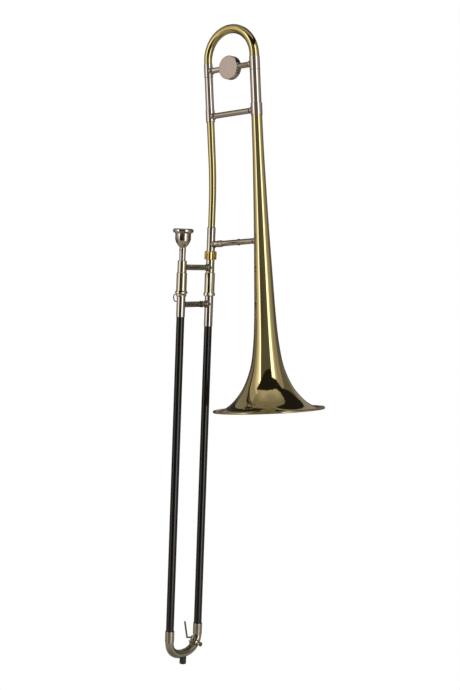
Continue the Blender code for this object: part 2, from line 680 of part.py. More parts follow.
def make_tuning_brace(slide):
    """One brace between the crook's ferrules, and the round counterweight clamped on it."""
    height = TUNING_BRACE_HEIGHT
    half, foot = BRACE_D / 2, FOOT_D / 2
    neck_skin, bell_skin = CROOK_NECK_FERRULE_R, CROOK_BELL_FERRULE_R
    far = LEG_SPACING - neck_skin
    profile = [
        (0, LEG_SPACING - neck_skin * 0.5), (foot, LEG_SPACING - neck_skin * 0.5), (foot, far - 0.0012),
        (half + 0.0004, far - 0.0030), (half, far - FOOT_LENGTH), (half, bell_skin + FOOT_LENGTH),
        (half + 0.0004, bell_skin + 0.0030), (foot, bell_skin + 0.0012), (foot, bell_skin * 0.5),
        (0, bell_skin * 0.5),
    ]
    brace = turned("tuning_brace", profile, "nickel", slide, (0, 0, height), ALONG_Y, sides=SMALL_SIDES)
    neck_tool = cylinder_tool("tool_tuning_neck", neck_skin + FACE_GAP, 0.06, slide, (0, LEG_SPACING, height))
    bell_tool = cylinder_tool("tool_tuning_bell", bell_skin + FACE_GAP, 0.06, slide, (0, 0, height))
    shape_with(brace, neck_tool, "DIFFERENCE")
    shape_with(brace, bell_tool, "DIFFERENCE")

    middle = (0, LEG_SPACING / 2 + WEIGHT_OFFSET, height)
    radius = WEIGHT_D / 2
    gap = WEIGHT_SPLIT / 2
    face = WEIGHT_THICKNESS / 2
    edge = 0.0012
    bore = cylinder_tool("tool_weight_brace", half + FACE_GAP, 2 * WEIGHT_D, slide, middle, ALONG_Y,
                         sides=SMALL_SIDES)
    screw_place = (0, middle[1], height - WEIGHT_SCREW_DROP)
    hole = cylinder_tool("tool_weight_screw", WEIGHT_SCREW_D / 2 + FIT_GAP, 2 * WEIGHT_THICKNESS, slide,
                         screw_place, ALONG_X, sides=SMALL_SIDES)
    halves = (("counterweight_front", -1), ("counterweight_rear", 1))
    for name, way in halves:
        profile = [(0, way * face), (radius - edge, way * face), (radius, way * (face - edge)),
                   (radius, way * gap), (0, way * gap)]
        if way < 0:
            profile = profile[::-1]
        piece = turned(name, profile, "nickel", slide, middle, ALONG_X, sides=WEIGHT_SIDES)
        shape_with(piece, bore, "DIFFERENCE")
        if way > 0:
            shape_with(piece, hole, "DIFFERENCE")
    head = WEIGHT_SCREW_HEAD_D / 2
    shank = WEIGHT_SCREW_D / 2
    top = face + FACE_GAP
    screw = [(0, top + WEIGHT_SCREW_HEAD), (head - 0.0005, top + WEIGHT_SCREW_HEAD),
             (head, top + WEIGHT_SCREW_HEAD - 0.0005), (head, top), (shank, top), (shank, -gap + FACE_GAP),
              (0, -gap + FACE_GAP)]
    turned("counterweight_screw", screw, "steel", slide, screw_place, ALONG_X, sides=SMALL_SIDES)


def make_lock_nut(nut):
    """The gold nut that draws the slide's tenon into the receiver: a lip below and a fluted wall."""
    outer = NUT_D / 2
    bore = outer - NUT_WALL
    lip = TENON_SLEEVE_D / 2 + RUN_GAP
    edge = 0.0012
    profile = [
        (outer - edge, NUT_HEIGHT), (outer, NUT_HEIGHT - edge), (outer, edge), (outer - edge, 0),
        (lip, 0), (lip, NUT_LIP), (bore, NUT_LIP), (bore, NUT_HEIGHT),
    ]
    turned("lock_nut", profile, "gold", nut, sides=2 * NUT_FLUTES, flutes=(outer - edge / 2, NUT_FLUTE_DEPTH))


def make_tenon(slide):
    """The tenon, flanged under the receiver and tapered inside it, in the sleeve below the nut."""
    flange_base = NUT_LIP + FACE_GAP
    flange_top = flange_base + TENON_FLANGE
    flange = min(TENON_FLANGE_D / 2, NUT_D / 2 - NUT_WALL - RUN_GAP)
    base, tip = TENON_BASE_D / 2, TENON_TIP_D / 2
    bore = INNER_TUBE_D / 2 - INNER_TUBE_WALL
    profile = [
        (tip, TENON_TOP), (base, flange_top), (flange, flange_top), (flange, flange_base),
        (base, flange_base), (base, -TENON_INSERT), (bore, -TENON_INSERT), (tip - TENON_WALL, TENON_TOP),
    ]
    turned("slide_tenon", profile, "brass", slide)
    sleeve = TENON_SLEEVE_D / 2
    step = -TENON_INSERT - FACE_GAP
    profile = [
        (sleeve, 0), (sleeve, -TENON_SLEEVE_LENGTH), (INNER_TUBE_D / 2 + FIT_GAP, -TENON_SLEEVE_LENGTH),
        (INNER_TUBE_D / 2 + FIT_GAP, step), (base + FIT_GAP, step), (base + FIT_GAP, 0),
    ]
    turned("tenon_sleeve", profile, "brass", slide)


def barrel_profile(bead):
    """A cork barrel: capped on top round the inner tube, open below, with or without an end bead."""
    outer = BARREL_D / 2
    bore = outer - BARREL_WALL
    cap_bore = INNER_TUBE_D / 2 + FIT_GAP
    cap_base = BARREL_TOP - BARREL_CAP
    edge = 0.0008
    down = [(outer - edge, BARREL_TOP), (outer, BARREL_TOP - edge)]
    if bead:
        wide = BARREL_BEAD_D / 2
        down += [(outer, BARREL_BASE), (wide, BARREL_BASE - 0.0012), (wide, BEAD_BASE + 0.0012),
                 (wide - 0.0010, BEAD_BASE), (bore, BEAD_BASE)]
    else:
        down += [(outer, BARREL_BASE), (bore, BARREL_BASE)]
    return down + [(bore, cap_base), (cap_bore, cap_base), (cap_bore, BARREL_TOP)]


def make_barrels(slide):
    """Barrels, corks, inner tubes and stockings of both sides."""
    mouth = (-TUBE_SPACING, 0, 0)
    bell = (0, 0, 0)
    inner = INNER_TUBE_D / 2
    turned("barrel_mouth", barrel_profile(False), "brass", slide, mouth)
    barrel = turned("barrel_bell", barrel_profile(True), "brass", slide, bell)
    reach = BARREL_BEAD_D / 2 + BARREL_LUG_REACH
    lug = block("tool_lug", (-reach, -BARREL_LUG_WIDTH / 2, BEAD_BASE + 0.0006),
                (-BARREL_D / 2 + 0.0004, BARREL_LUG_WIDTH / 2, BARREL_BASE - 0.0006), None, slide,
                turn=(0, 0, math.radians(25)))
    shape_with(barrel, lug, "UNION")
    cork_outer = BARREL_D / 2 - BARREL_WALL - FIT_GAP
    tops = (("mouth", mouth, -TENON_INSERT - 2 * FACE_GAP), ("bell", bell, -TENON_INSERT - 2 * FACE_GAP))
    stocking_top = -INNER_REACH + STOCKING_LENGTH
    for side, at, top in tops:
        cork = pipe_profile(cork_outer, inner + FIT_GAP, CORK_TOP, CORK_BASE)
        turned("barrel_cork_" + side, cork, "rubber", slide, at)
        tube = pipe_profile(inner, inner - INNER_TUBE_WALL, top, stocking_top + FACE_GAP)
        turned("inner_tube_" + side, tube, "nickel", slide, at)
        outer = STOCKING_D / 2
        stocking = [(outer, stocking_top), (outer, -INNER_REACH + 0.0010), (outer - 0.0003, -INNER_REACH),
                    (inner - INNER_TUBE_WALL, -INNER_REACH), (inner - INNER_TUBE_WALL, stocking_top)]
        turned("stocking_" + side, stocking, "nickel", slide, at)


def make_mouth_receiver(slide):
    """The brass receiver on the mouthpiece side, tapered inside for the shank."""
    outer = MOUTH_RECEIVER_D / 2
    base = BARREL_TOP + FACE_GAP
    tube = INNER_TUBE_D / 2 + FIT_GAP
    step = -TENON_INSERT - FACE_GAP
    top_bore = shank_radius(MOUTHPIECE_STANDS) + RUN_GAP
    step_bore = shank_radius(MOUTHPIECE_STANDS + MOUTH_RECEIVER_TOP - step) + RUN_GAP
    profile = [
        (outer - 0.0006, MOUTH_RECEIVER_TOP), (outer, MOUTH_RECEIVER_TOP - 0.0010), (outer, base),
        (tube, base), (tube, step), (step_bore, step), (top_bore, MOUTH_RECEIVER_TOP),
    ]
    turned("mouthpiece_receiver", profile, "brass", slide, (-TUBE_SPACING, 0, 0))


def shank_radius(depth):
    """Outer radius of the mouthpiece's shank at a depth below the top of its rim."""
    share = (depth - MOUTH_BODY_HEIGHT) / (MOUTHPIECE_LENGTH - MOUTH_BODY_HEIGHT)
    return (SHANK_TOP_D + (SHANK_TIP_D - SHANK_TOP_D) * share) / 2


def make_mouthpiece(carrier):
    """Rim, cup, throat, backbore and shank, turned in one piece."""
    rim = MOUTH_RIM_D / 2
    body = MOUTH_BODY_D / 2
    tall = MOUTH_RIM_HEIGHT
    cup = MOUTH_CUP_BORE / 2
    waist = SHANK_TOP_D / 2
    profile = []
    for degrees in (100, 60, 25, -25, -60):
        angle = math.radians(degrees)
        profile.append((rim - tall / 2 + tall / 2 * math.cos(angle), -tall / 2 + tall / 2 * math.sin(angle)))
    bowl = MOUTH_BODY_HEIGHT - tall
    profile += [
        (body, -tall - 0.0008), (body, -tall - 0.42 * bowl), (0.90 * body, -tall - 0.60 * bowl),
        (0.70 * body, -tall - 0.78 * bowl), (0.46 * body, -tall - 0.94 * bowl),
        (waist - 0.0006, -MOUTH_BODY_HEIGHT), (waist + 0.0005, -MOUTH_BODY_HEIGHT - 0.0028),
        (shank_radius(MOUTH_BODY_HEIGHT + 0.006), -MOUTH_BODY_HEIGHT - 0.006),
        (SHANK_TIP_D / 2, -MOUTHPIECE_LENGTH),
    ]
    throat = MOUTH_THROAT_D / 2
    tip_bore = SHANK_TIP_D / 2 - 0.0007
    profile += [
        (tip_bore, -MOUTHPIECE_LENGTH), (throat, -MOUTH_CUP_DEPTH - 0.010),
        (throat, -MOUTH_CUP_DEPTH - 0.003),
        (0.42 * cup, -MOUTH_CUP_DEPTH), (0.72 * cup, -0.74 * MOUTH_CUP_DEPTH),
        (0.92 * cup, -0.42 * MOUTH_CUP_DEPTH), (cup, -0.0030), (cup + 0.0010, -0.0006),
    ]
    top = MOUTH_RECEIVER_TOP + MOUTHPIECE_STANDS
    turned("mouthpiece", profile, "silver", carrier, (0, 0, top), sides=MOUTHPIECE_SIDES)


def make_lock_ring(ring):
    """The ring round the barrel's end, with the tab that goes under the outer slide's hook."""
    outer, neck = LOCK_RING_D / 2, LOCK_NECK_D / 2
    band = RING_TOP - LOCK_BAND_HEIGHT
    barrel_bore = BARREL_D / 2 + RUN_GAP
    pass_bore = BARREL_D / 2 - BARREL_WALL
    shelf = BARREL_BASE - FACE_GAP
    edge = 0.0009
    profile = [
        (barrel_bore + 0.0004, RING_TOP), (outer, RING_TOP - 0.0024), (outer, band + edge),
        (outer - edge, band), (neck, band), (neck, RING_BASE), (pass_bore, RING_BASE), (pass_bore, shelf),
        (barrel_bore, shelf), (barrel_bore, RING_TOP),
    ]
    piece = turned("lock_ring", profile, "brass", ring)
    turn = HOOK_DIRECTION + LOCK_TAB_TURN
    tab = block("tool_lock_tab", (neck - 0.0005, -LOCK_TAB_WIDTH / 2, RING_BASE),
                (TAB_END, LOCK_TAB_WIDTH / 2, TAB_TOP), None, ring, turn=(0, 0, turn))
    shape_with(piece, tab, "UNION")


def make_hand_brace(name, slide, height, mouth_skin, bell_skin, foot_name, parent_turn=ALONG_X):
    """A bar between the hand slide's two sides, flared at the mouthpiece end, with a foot at the other."""
    half, wide = HAND_BRACE_D / 2, HAND_FOOT_D / 2
    start = -TUBE_SPACING + mouth_skin
    end = -bell_skin - HAND_FOOT_LENGTH - FACE_GAP
    profile = [
        (0, end), (half, end), (half, start + HAND_FOOT_LENGTH), (half + 0.0005, start + 0.0030),
        (wide - 0.0006, start + 0.0010), (wide - 0.0006, start - 0.5 * mouth_skin),
        (0, start - 0.5 * mouth_skin),
    ]
    bar = turned(name, profile, "nickel", slide, (0, 0, height), parent_turn, sides=SMALL_SIDES)
    tool = cylinder_tool("tool_" + name, mouth_skin + FACE_GAP, 0.05, slide, (-TUBE_SPACING, 0, height))
    shape_with(bar, tool, "DIFFERENCE")
    near = -bell_skin - HAND_FOOT_LENGTH
    foot = [
        (0, -0.5 * bell_skin), (wide, -0.5 * bell_skin), (wide, -bell_skin - 0.0014),
        (half + 0.0009, -bell_skin - 0.0034), (half + 0.0006, near), (0, near),
    ]
    piece = turned(foot_name, foot, "nickel", slide, (0, 0, height), parent_turn, sides=SMALL_SIDES)
    tool = cylinder_tool("tool_" + foot_name, bell_skin + FACE_GAP, 0.05, slide, (0, 0, height))
    shape_with(piece, tool, "DIFFERENCE")


def crook_point(angle):
    """Middle line of the end crook: point, direction and outward normal, in the slide's own plane."""
    half = TUBE_SPACING / 2
    power = 2 / END_CROOK_SQUARENESS
    across, down = math.cos(angle), math.sin(angle)
    x = -half + half * math.copysign(abs(across) ** power, across)
    z = END_FERRULE_BASE - END_CROOK_DEPTH * down ** power
    step = 1e-4
    if step < angle < math.pi - step:
        ahead_x = -half + half * math.copysign(abs(math.cos(angle + step)) ** power, math.cos(angle + step))
        ahead_z = END_FERRULE_BASE - END_CROOK_DEPTH * math.sin(angle + step) ** power
        direction = Vector((ahead_x - x, 0, ahead_z - z)).normalized()
    else:
        direction = Vector((0, 0, -1 if angle < 1 else 1))
    outward = Vector((-direction.z, 0, direction.x))
    return Vector((x, 0, z)), direction, outward


def make_outer_slide(slide):
    """Black tubes, their top sleeves, the end ferrules and the crook at the bottom."""
    outer = OUTER_TUBE_D / 2
    bore = outer - OUTER_TUBE_WALL
    crook = END_CROOK_D / 2
    sides = (("mouth", -TUBE_SPACING, SLEEVE_MOUTH_LENGTH), ("bell", 0.0, SLEEVE_BELL_LENGTH))
    for side, place, sleeve_length in sides:
        at = (place, 0, 0)
        tube = pipe_profile(outer, bore, OUTER_TOP, END_MIDDLE + FACE_GAP)
        turned("outer_tube_" + side, tube, "black", slide, at)
        sleeve = pipe_profile(TOP_SLEEVE_R, outer + FIT_GAP, TOP_SLEEVE_TOP, TOP_SLEEVE_TOP - sleeve_length)
        turned("top_sleeve_" + side, sleeve, "nickel", slide, at)
        ring = max(END_FERRULE_D / 2, max(outer, crook) + FIT_GAP + FERRULE_WALL)
        ferrule("end_ferrule_" + side, ring, -END_FERRULE_DROP, END_FERRULE_BASE, outer + FIT_GAP,
                crook + FIT_GAP, END_MIDDLE, slide, at)
    start = END_MIDDLE - FACE_GAP
    path = [(Vector((0, 0, start)), Vector((0, 0, -1)), crook)]
    for step in range(CROOK_STEPS + 3):
        point, direction, _ = crook_point(math.pi * step / (CROOK_STEPS + 2))
        path.append((point, direction, crook))
    path.append((Vector((-TUBE_SPACING, 0, start)), Vector((0, 0, 1)), crook))
    swept_tube("end_crook", path, (0, 1, 0), "nickel", slide, END_CROOK_WALL)


def crook_tool(name, parent, frame):
    """A hidden copy of the end crook, a little fatter, that cuts the seats of what sits on it."""
    into = frame.inverted()
    points = [into @ crook_point(math.pi * step / (CROOK_STEPS + 2))[0] for step in range(1, CROOK_STEPS + 2)]
    return swept_wire(name, points, END_CROOK_D / 2 + FACE_GAP, None, parent, sides=TUBE_SIDES)


def make_outer_brace(slide):
    """The outer hand brace with its socket ring, and the hook of the slide lock."""
    height = -OUTER_BRACE_DROP
    make_hand_brace("outer_brace", slide, height, TOP_SLEEVE_R, TOP_SLEEVE_R, "outer_brace_foot")
    ring, bore = OUTER_SOCKET_D / 2, HAND_BRACE_D / 2 + FIT_GAP
    low = -OUTER_SOCKET_PLACE - OUTER_SOCKET_LENGTH
    profile = [(ring - 0.0005, -OUTER_SOCKET_PLACE), (ring, -OUTER_SOCKET_PLACE - 0.0005),
               (ring, low + 0.0005), (ring - 0.0005, low), (bore, low), (bore, -OUTER_SOCKET_PLACE)]
    turned("outer_brace_ring", profile, "nickel", slide, (0, 0, height), ALONG_X, sides=SMALL_SIDES)


def make_lock_hook(slide):
    """A bent wire hook that stands out from the mouthpiece-side sleeve, in a plane through its axis."""
    out = Vector((math.cos(HOOK_DIRECTION), math.sin(HOOK_DIRECTION), 0))
    axis = Vector((-TUBE_SPACING, 0, 0))
    foot = RING_BASE - HOOK_HEIGHT
    near = TOP_SLEEVE_R + FACE_GAP
    far = TAB_END + 2 * FACE_GAP + HOOK_WIRE / 2
    tip_height = (TAB_TOP + RING_TOP - LOCK_BAND_HEIGHT) / 2
    tip_radius = LOCK_NECK_D / 2 + 2 * FACE_GAP
    outline = [
        (near, foot), (near + 0.35 * (far - near), foot), (near + 0.8 * (far - near), foot + 0.0012),
        (far, foot + 0.0034), (far + 0.0006, (foot + tip_height) / 2), (far + 0.0003, tip_height - 0.0014),
        (far - 0.0004, tip_height - 0.0002), (tip_radius, tip_height),
    ]
    points = [axis + out * radius + Vector((0, 0, height)) for radius, height in outline]
    swept_wire("lock_hook", points, HOOK_WIRE / 2, "nickel", slide)


def make_bumper(slide):
    """The black rubber bumper under the crook's middle, hollowed to sit on the tube."""
    point, _, _ = crook_point(math.pi / 2)
    skin = END_CROOK_D / 2
    base = -skin - BUMPER_HEIGHT
    radius = BUMPER_D / 2
    edge = 0.0008
    profile = [(0, -0.4 * skin), (radius, -0.4 * skin), (radius, base + edge), (radius - edge, base),
               (0, base)]
    bumper = turned("rubber_bumper", profile, "rubber", slide, point, sides=SMALL_SIDES)
    shape_with(bumper, crook_tool("tool_bumper", slide, Matrix()), "DIFFERENCE")


def key_frame():
    """The water key's hinge on the slide: Z along the crook, X into the bow, Y towards the nipple."""
    point, direction, outward = crook_point(KEY_PLACE)
    pivot = point - outward * (END_CROOK_D / 2 + KEY_PIVOT_OUT)
    up = -direction
    inward = -outward
    side = up.cross(inward)
    return Matrix((
        (inward.x, side.x, up.x, pivot.x),
        (inward.y, side.y, up.y, pivot.y),
        (inward.z, side.z, up.z, pivot.z),
        (0, 0, 0, 1)))


def make_key_mount(mount):
    """Nipple, saddle, pivot screw and spring, fixed on the crook."""
    centre = -(END_CROOK_D / 2 + KEY_PIVOT_OUT)
    skin = END_CROOK_D / 2
    wide = NIPPLE_D / 2
    top = skin + NIPPLE_LENGTH
    profile = [(wide - 0.0004, top), (wide, top - 0.0006), (wide, skin + 0.0012), (wide + 0.0008, skin * 0.8),
               (NIPPLE_BORE / 2, skin * 0.8), (NIPPLE_BORE / 2, top)]
    nipple = turned("water_nipple", profile, "brass", mount, (centre, 0, 0), ALONG_Y, sides=12)
    saddle_tool = crook_tool("tool_key_crook", mount, key_frame())
    shape_with(nipple, saddle_tool, "DIFFERENCE")

    half = KEY_POST_WIDTH / 2
    post_in = KEY_POST_SPACING / 2 - KEY_POST_THICKNESS
    post_out = KEY_POST_SPACING / 2
    floor = -KEY_PIVOT_OUT - 0.0025
    base_top = -KEY_PIVOT_OUT + KEY_BASE_THICKNESS
    saddle = block("key_saddle", (floor, -half, -post_out), (base_top, half, post_out), "nickel", mount)
    for way, label in ((-1, "low"), (1, "high")):
        inner, far = sorted((way * post_in, way * post_out))
        post = block("tool_post_" + label, (-KEY_PIVOT_OUT, -half * 0.8, inner), (0.0026, half * 0.8, far),
                     None, mount)
        shape_with(saddle, post, "UNION")
    shape_with(saddle, saddle_tool, "DIFFERENCE")
    bore = cylinder_tool("tool_key_bore", KEY_SCREW_D / 2 + FIT_GAP, 0.04, mount, (0, 0, 0), sides=12)
    shape_with(saddle, bore, "DIFFERENCE")

    shank, head = KEY_SCREW_D / 2, KEY_SCREW_HEAD_D / 2
    head_top = post_out + FACE_GAP + 0.0014
    screw = [(0, head_top), (head - 0.0004, head_top), (head, head_top - 0.0004), (head, post_out + FACE_GAP),
             (shank, post_out + FACE_GAP), (shank, head_top - KEY_SCREW_LENGTH),
             (0, head_top - KEY_SCREW_LENGTH)]
    turned("key_screw", screw, "steel", mount, sides=12)

    radius = KEY_SCREW_D / 2 + FIT_GAP + SPRING_WIRE
    start = -post_in + SPRING_WIRE
    points = []
    per_turn = 10
    for step in range(SPRING_TURNS * per_turn + 1):
        angle = math.tau * step / per_turn
        height = start + SPRING_PITCH * step / per_turn
        points.append((radius * math.cos(angle), radius * math.sin(angle), height))
    gap = SPRING_PITCH - SPRING_WIRE
    print("key_spring: least gap between turns", round(gap * 1000, 2), "mm")
    swept_wire("key_spring", points, SPRING_WIRE / 2, "steel", mount, sides=6)


def make_water_key(key):
    """Hub, lever to the touch, and the arm that carries the cup over the nipple."""
    centre = -(END_CROOK_D / 2 + KEY_PIVOT_OUT)
    hub = KEY_HUB_D / 2
    post_in = KEY_POST_SPACING / 2 - KEY_POST_THICKNESS
    hub_top = post_in - FACE_GAP
    hub_base = hub_top - KEY_HUB_LENGTH
    bore = KEY_SCREW_D / 2 + FIT_GAP
    root = (hub + bore) / 2
    piece = turned("water_key", pipe_profile(hub, bore, hub_top, hub_base), "nickel", key, sides=12)
    middle = (hub_top + hub_base) / 2
    lever = [(root, 0, middle), (0.0085, 0, -0.0010), (0.0140, 0, -0.0046), (0.0210, 0, 0.0000),
             (0.0320, 0, 0.0075), (0.0412, 0, 0.0138)]
    tool = swept_wire("tool_key_lever", lever, KEY_LEVER_D / 2, None, key)
    shape_with(piece, tool, "UNION")
    cup_base = END_CROOK_D / 2 + NIPPLE_LENGTH + FACE_GAP + KEY_CORK_LENGTH * 0.5
    cup_top = cup_base + KEY_CUP_DEPTH
    arm_wire = KEY_ARM_D / 2
    arm_top = cup_top + arm_wire - 0.0006
    arm = [(0, root, middle), (-0.0006, 0.55 * arm_top, middle * 0.8),
           (-0.0036, 0.86 * arm_top, middle * 0.4), (centre * 0.62, arm_top, 0), (centre, arm_top, 0)]
    tool = swept_wire("tool_key_arm", arm, arm_wire, None, key)
    shape_with(piece, tool, "UNION")
    cup = KEY_CUP_D / 2
    pocket = cup - 0.0006
    profile = [(0, cup_top), (cup - 0.0008, cup_top), (cup, cup_top - 0.0008), (cup, cup_base),
               (pocket, cup_base), (pocket, cup_top - 0.0008), (0, cup_top - 0.0008)]
    tool = turned("tool_key_cup", profile, None, key, (centre, 0, 0), ALONG_Y, sides=SMALL_SIDES)
    shape_with(piece, tool, "UNION")

    cork = pocket - FIT_GAP
    low = END_CROOK_D / 2 + NIPPLE_LENGTH + FACE_GAP
    profile = [(0, low + KEY_CORK_LENGTH), (cork, low + KEY_CORK_LENGTH), (cork, low), (0, low)]
    turned("key_cork", profile, "cork", key, (centre, 0, 0), ALONG_Y, sides=SMALL_SIDES)


def main():
    clear_scene()
    bell_section = empty("bell_section", turn=(-BELL_LEAN, 0, 0))
    make_bell(bell_section)
    make_sleeves(bell_section)
    make_gooseneck(bell_section)
    make_receiver(bell_section)
    make_bell_braces(bell_section)
    make_lower_brace(bell_section)

    tuning_slide = empty("tuning_slide", bell_section)
    make_tuning_slide(tuning_slide)
    make_tuning_brace(tuning_slide)

    swivel = (0, SWIVEL_Y, NUT_Z)
    nut = empty("nut_axis", at=swivel)
    make_lock_nut(nut)

    inner_slide = empty("inner_slide", at=swivel)
    make_tenon(inner_slide)
    make_barrels(inner_slide)
    make_mouth_receiver(inner_slide)
    make_hand_brace("inner_brace", inner_slide, -INNER_BRACE_DROP, MOUTH_RECEIVER_D / 2, TENON_SLEEVE_D / 2,
                    "inner_brace_foot")

    mouth_axis = empty("mouth_axis", inner_slide, at=(-TUBE_SPACING, 0, 0))
    make_mouthpiece(mouth_axis)
    make_lock_ring(mouth_axis)

    outer_slide = empty("outer_slide", inner_slide)
    make_outer_slide(outer_slide)
    make_outer_brace(outer_slide)
    make_lock_hook(outer_slide)
    make_bumper(outer_slide)
    for name, make in (("key_mount", make_key_mount), ("key_axis", make_water_key)):
        hinge = key_frame()
        make(empty(name, outer_slide, hinge.to_translation(), hinge.to_euler()))


main()
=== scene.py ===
# %% [markdown]
# A tenor trombone stands upright against white, its bell pointing down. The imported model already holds
# every tube, brace and joint at its real size. This lesson keeps those places and sizes, turns the round
# pieces again with finer facets and eased edges, and gives each metal its own polish.

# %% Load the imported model
import json
import math

import bmesh
import bpy
from mathutils import Matrix, Vector

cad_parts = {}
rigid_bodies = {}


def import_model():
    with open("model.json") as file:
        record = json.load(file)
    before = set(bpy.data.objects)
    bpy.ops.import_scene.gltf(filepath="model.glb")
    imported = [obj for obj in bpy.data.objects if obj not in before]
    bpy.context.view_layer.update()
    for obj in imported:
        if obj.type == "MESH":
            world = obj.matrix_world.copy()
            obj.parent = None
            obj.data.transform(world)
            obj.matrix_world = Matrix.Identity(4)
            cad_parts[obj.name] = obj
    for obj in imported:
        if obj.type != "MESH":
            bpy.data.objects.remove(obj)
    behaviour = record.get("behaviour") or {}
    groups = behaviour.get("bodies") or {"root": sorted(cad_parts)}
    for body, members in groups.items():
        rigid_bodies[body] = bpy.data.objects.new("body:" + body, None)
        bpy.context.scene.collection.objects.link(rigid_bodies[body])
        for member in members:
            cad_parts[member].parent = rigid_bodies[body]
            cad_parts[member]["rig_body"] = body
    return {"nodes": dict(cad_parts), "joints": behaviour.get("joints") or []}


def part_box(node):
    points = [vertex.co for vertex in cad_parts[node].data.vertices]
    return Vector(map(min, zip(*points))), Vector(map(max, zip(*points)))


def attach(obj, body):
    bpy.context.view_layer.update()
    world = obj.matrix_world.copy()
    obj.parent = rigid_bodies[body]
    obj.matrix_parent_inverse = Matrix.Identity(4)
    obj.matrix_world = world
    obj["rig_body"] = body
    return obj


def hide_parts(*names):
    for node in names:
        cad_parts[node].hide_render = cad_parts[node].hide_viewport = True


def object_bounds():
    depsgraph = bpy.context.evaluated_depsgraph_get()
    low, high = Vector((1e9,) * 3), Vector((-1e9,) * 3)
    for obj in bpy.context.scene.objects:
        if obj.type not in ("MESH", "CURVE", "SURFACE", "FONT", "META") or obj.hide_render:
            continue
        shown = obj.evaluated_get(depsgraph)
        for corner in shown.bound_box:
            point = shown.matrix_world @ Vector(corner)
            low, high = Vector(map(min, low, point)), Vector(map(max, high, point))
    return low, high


for leftover in list(bpy.data.objects):
    bpy.data.objects.remove(leftover)

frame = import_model()
cad_box = [list(corner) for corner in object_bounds()]
nodes = frame["nodes"]
print(len(nodes), "pieces between", cad_box)

# %% [markdown]
# Four lines carry the long round pieces: the bell's own axis, the gooseneck side's line parallel to it, and
# the two upright lines of the hand slide. The model's joints lie on them or along them, so the joints give
# their places and directions, and only the spacing of the two leaning lines is written here.

# %% Find the lines that the tubes lie on
LEG_SPACING = 0.1058               # between the bell's axis and the gooseneck side's line
joints = {joint["name"]: joint for joint in frame["joints"]}
BELL_LINE = Vector(joints["tuning_pull"]["axis"])
UPRIGHT = Vector((0, 0, 1))
SIDEWAYS = Vector((1, 0, 0))
ACROSS = Vector((0, BELL_LINE.z, -BELL_LINE.y))
BELL_SEAT = Vector((0, 0, 0))
NECK_SEAT = BELL_SEAT + ACROSS * LEG_SPACING
BELL_SIDE_SEAT = Vector(joints["slide_swivel"]["pos_m"])
MOUTH_SIDE_SEAT = Vector(joints["slide_lock_turn"]["pos_m"])


def middle(node):
    """The middle of a piece's box."""
    low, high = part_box(node)
    return (low + high) / 2


print("the bell leans by", round(math.degrees(BELL_LINE.angle(UPRIGHT)), 2), "degrees")

# %% [markdown]
# Finishes are written as sums on sockets. A small class wraps a node's output, so that noise times a number
# plus another mask reads as a line of Python and adds its Math nodes by itself.

# %% Write shader sums as Python


class Wire:
    """A node's output, used in sums as a number would be."""

    def __init__(self, tree, socket=None):
        self.tree = tree
        self.socket = socket

    def node(self, kind, settings=None, values=None, output=0):
        """Adds a node: its settings first, then the values or links of its sockets."""
        made = self.tree.nodes.new("ShaderNode" + kind)
        for name, value in (settings or {}).items():
            setattr(made, name, value)
        for name, value in (values or {}).items():
            if isinstance(value, Wire):
                self.tree.links.new(value.socket, made.inputs[name])
            else:
                made.inputs[name].default_value = value
        return Wire(self.tree, made.outputs[output])

    def sum(self, operation, first, second):
        """Adds a Math node for one step of a sum."""
        return self.node("Math", {"operation": operation}, {0: first, 1: second})

    def __add__(self, other):
        return self.sum("ADD", self, other)

    def __mul__(self, other):
        return self.sum("MULTIPLY", self, other)

    def __rsub__(self, other):
        return self.sum("SUBTRACT", other, self)

    __radd__ = __add__
    __rmul__ = __mul__


print("sums on sockets are ready")

# %% [markdown]
# Every finish starts from the same two things: a Principled surface and the piece's own coordinates, which
# are metres on the instrument. Soft noise at hand size stands for wiping marks, and a finer one for the
# slight waviness that a polishing wheel leaves.

# %% Start a finish


def finish(name):
    """A new material with its surface node, and a wire to draw on."""
    material = bpy.data.materials.new(name)
    material.use_nodes = True
    tree = material.node_tree
    surface = tree.nodes["Principled BSDF"]
    return material, Wire(tree), surface


def place_of(pen, stretch=(1, 1, 1)):
    """The piece's own coordinates, stretched along its axes."""
    coordinates = pen.node("TexCoord", output=3)
    return pen.node("Mapping", values={"Vector": coordinates, "Scale": stretch})


def noise(pen, place, scale, detail=2.0, rough=0.5):
    """Cloudy noise between nought and one."""
    return pen.node("TexNoise",
                    values={"Vector": place, "Scale": scale, "Detail": detail, "Roughness": rough})


def blend(pen, share, first, second):
    """Two colours mixed by a mask."""
    return pen.node("Mix", {"data_type": "RGBA"}, {0: share, 6: first, 7: second}, output=2)


def bump(pen, height, strength, distance):
    """A normal tilted by a height."""
    return pen.node("Bump", values={"Height": height, "Strength": strength, "Distance": distance})


def connect(pen, surface, **links):
    """Joins wires to the surface's sockets."""
    for name, wire in links.items():
        pen.tree.links.new(wire.socket, surface.inputs[name.replace("_", " ")])


print("finishes are ready")

# %% [markdown]
# Lacquered brass is polished, buffed along the tube and sprayed clear. The clear coat reflects white light as
# white, so highlights stay paler than the metal under it. The colour drifts between two close golds, wiping
# marks dull it in patches, and a faint waviness keeps the reflections from being ruler-straight.

# %% Lacquered brass


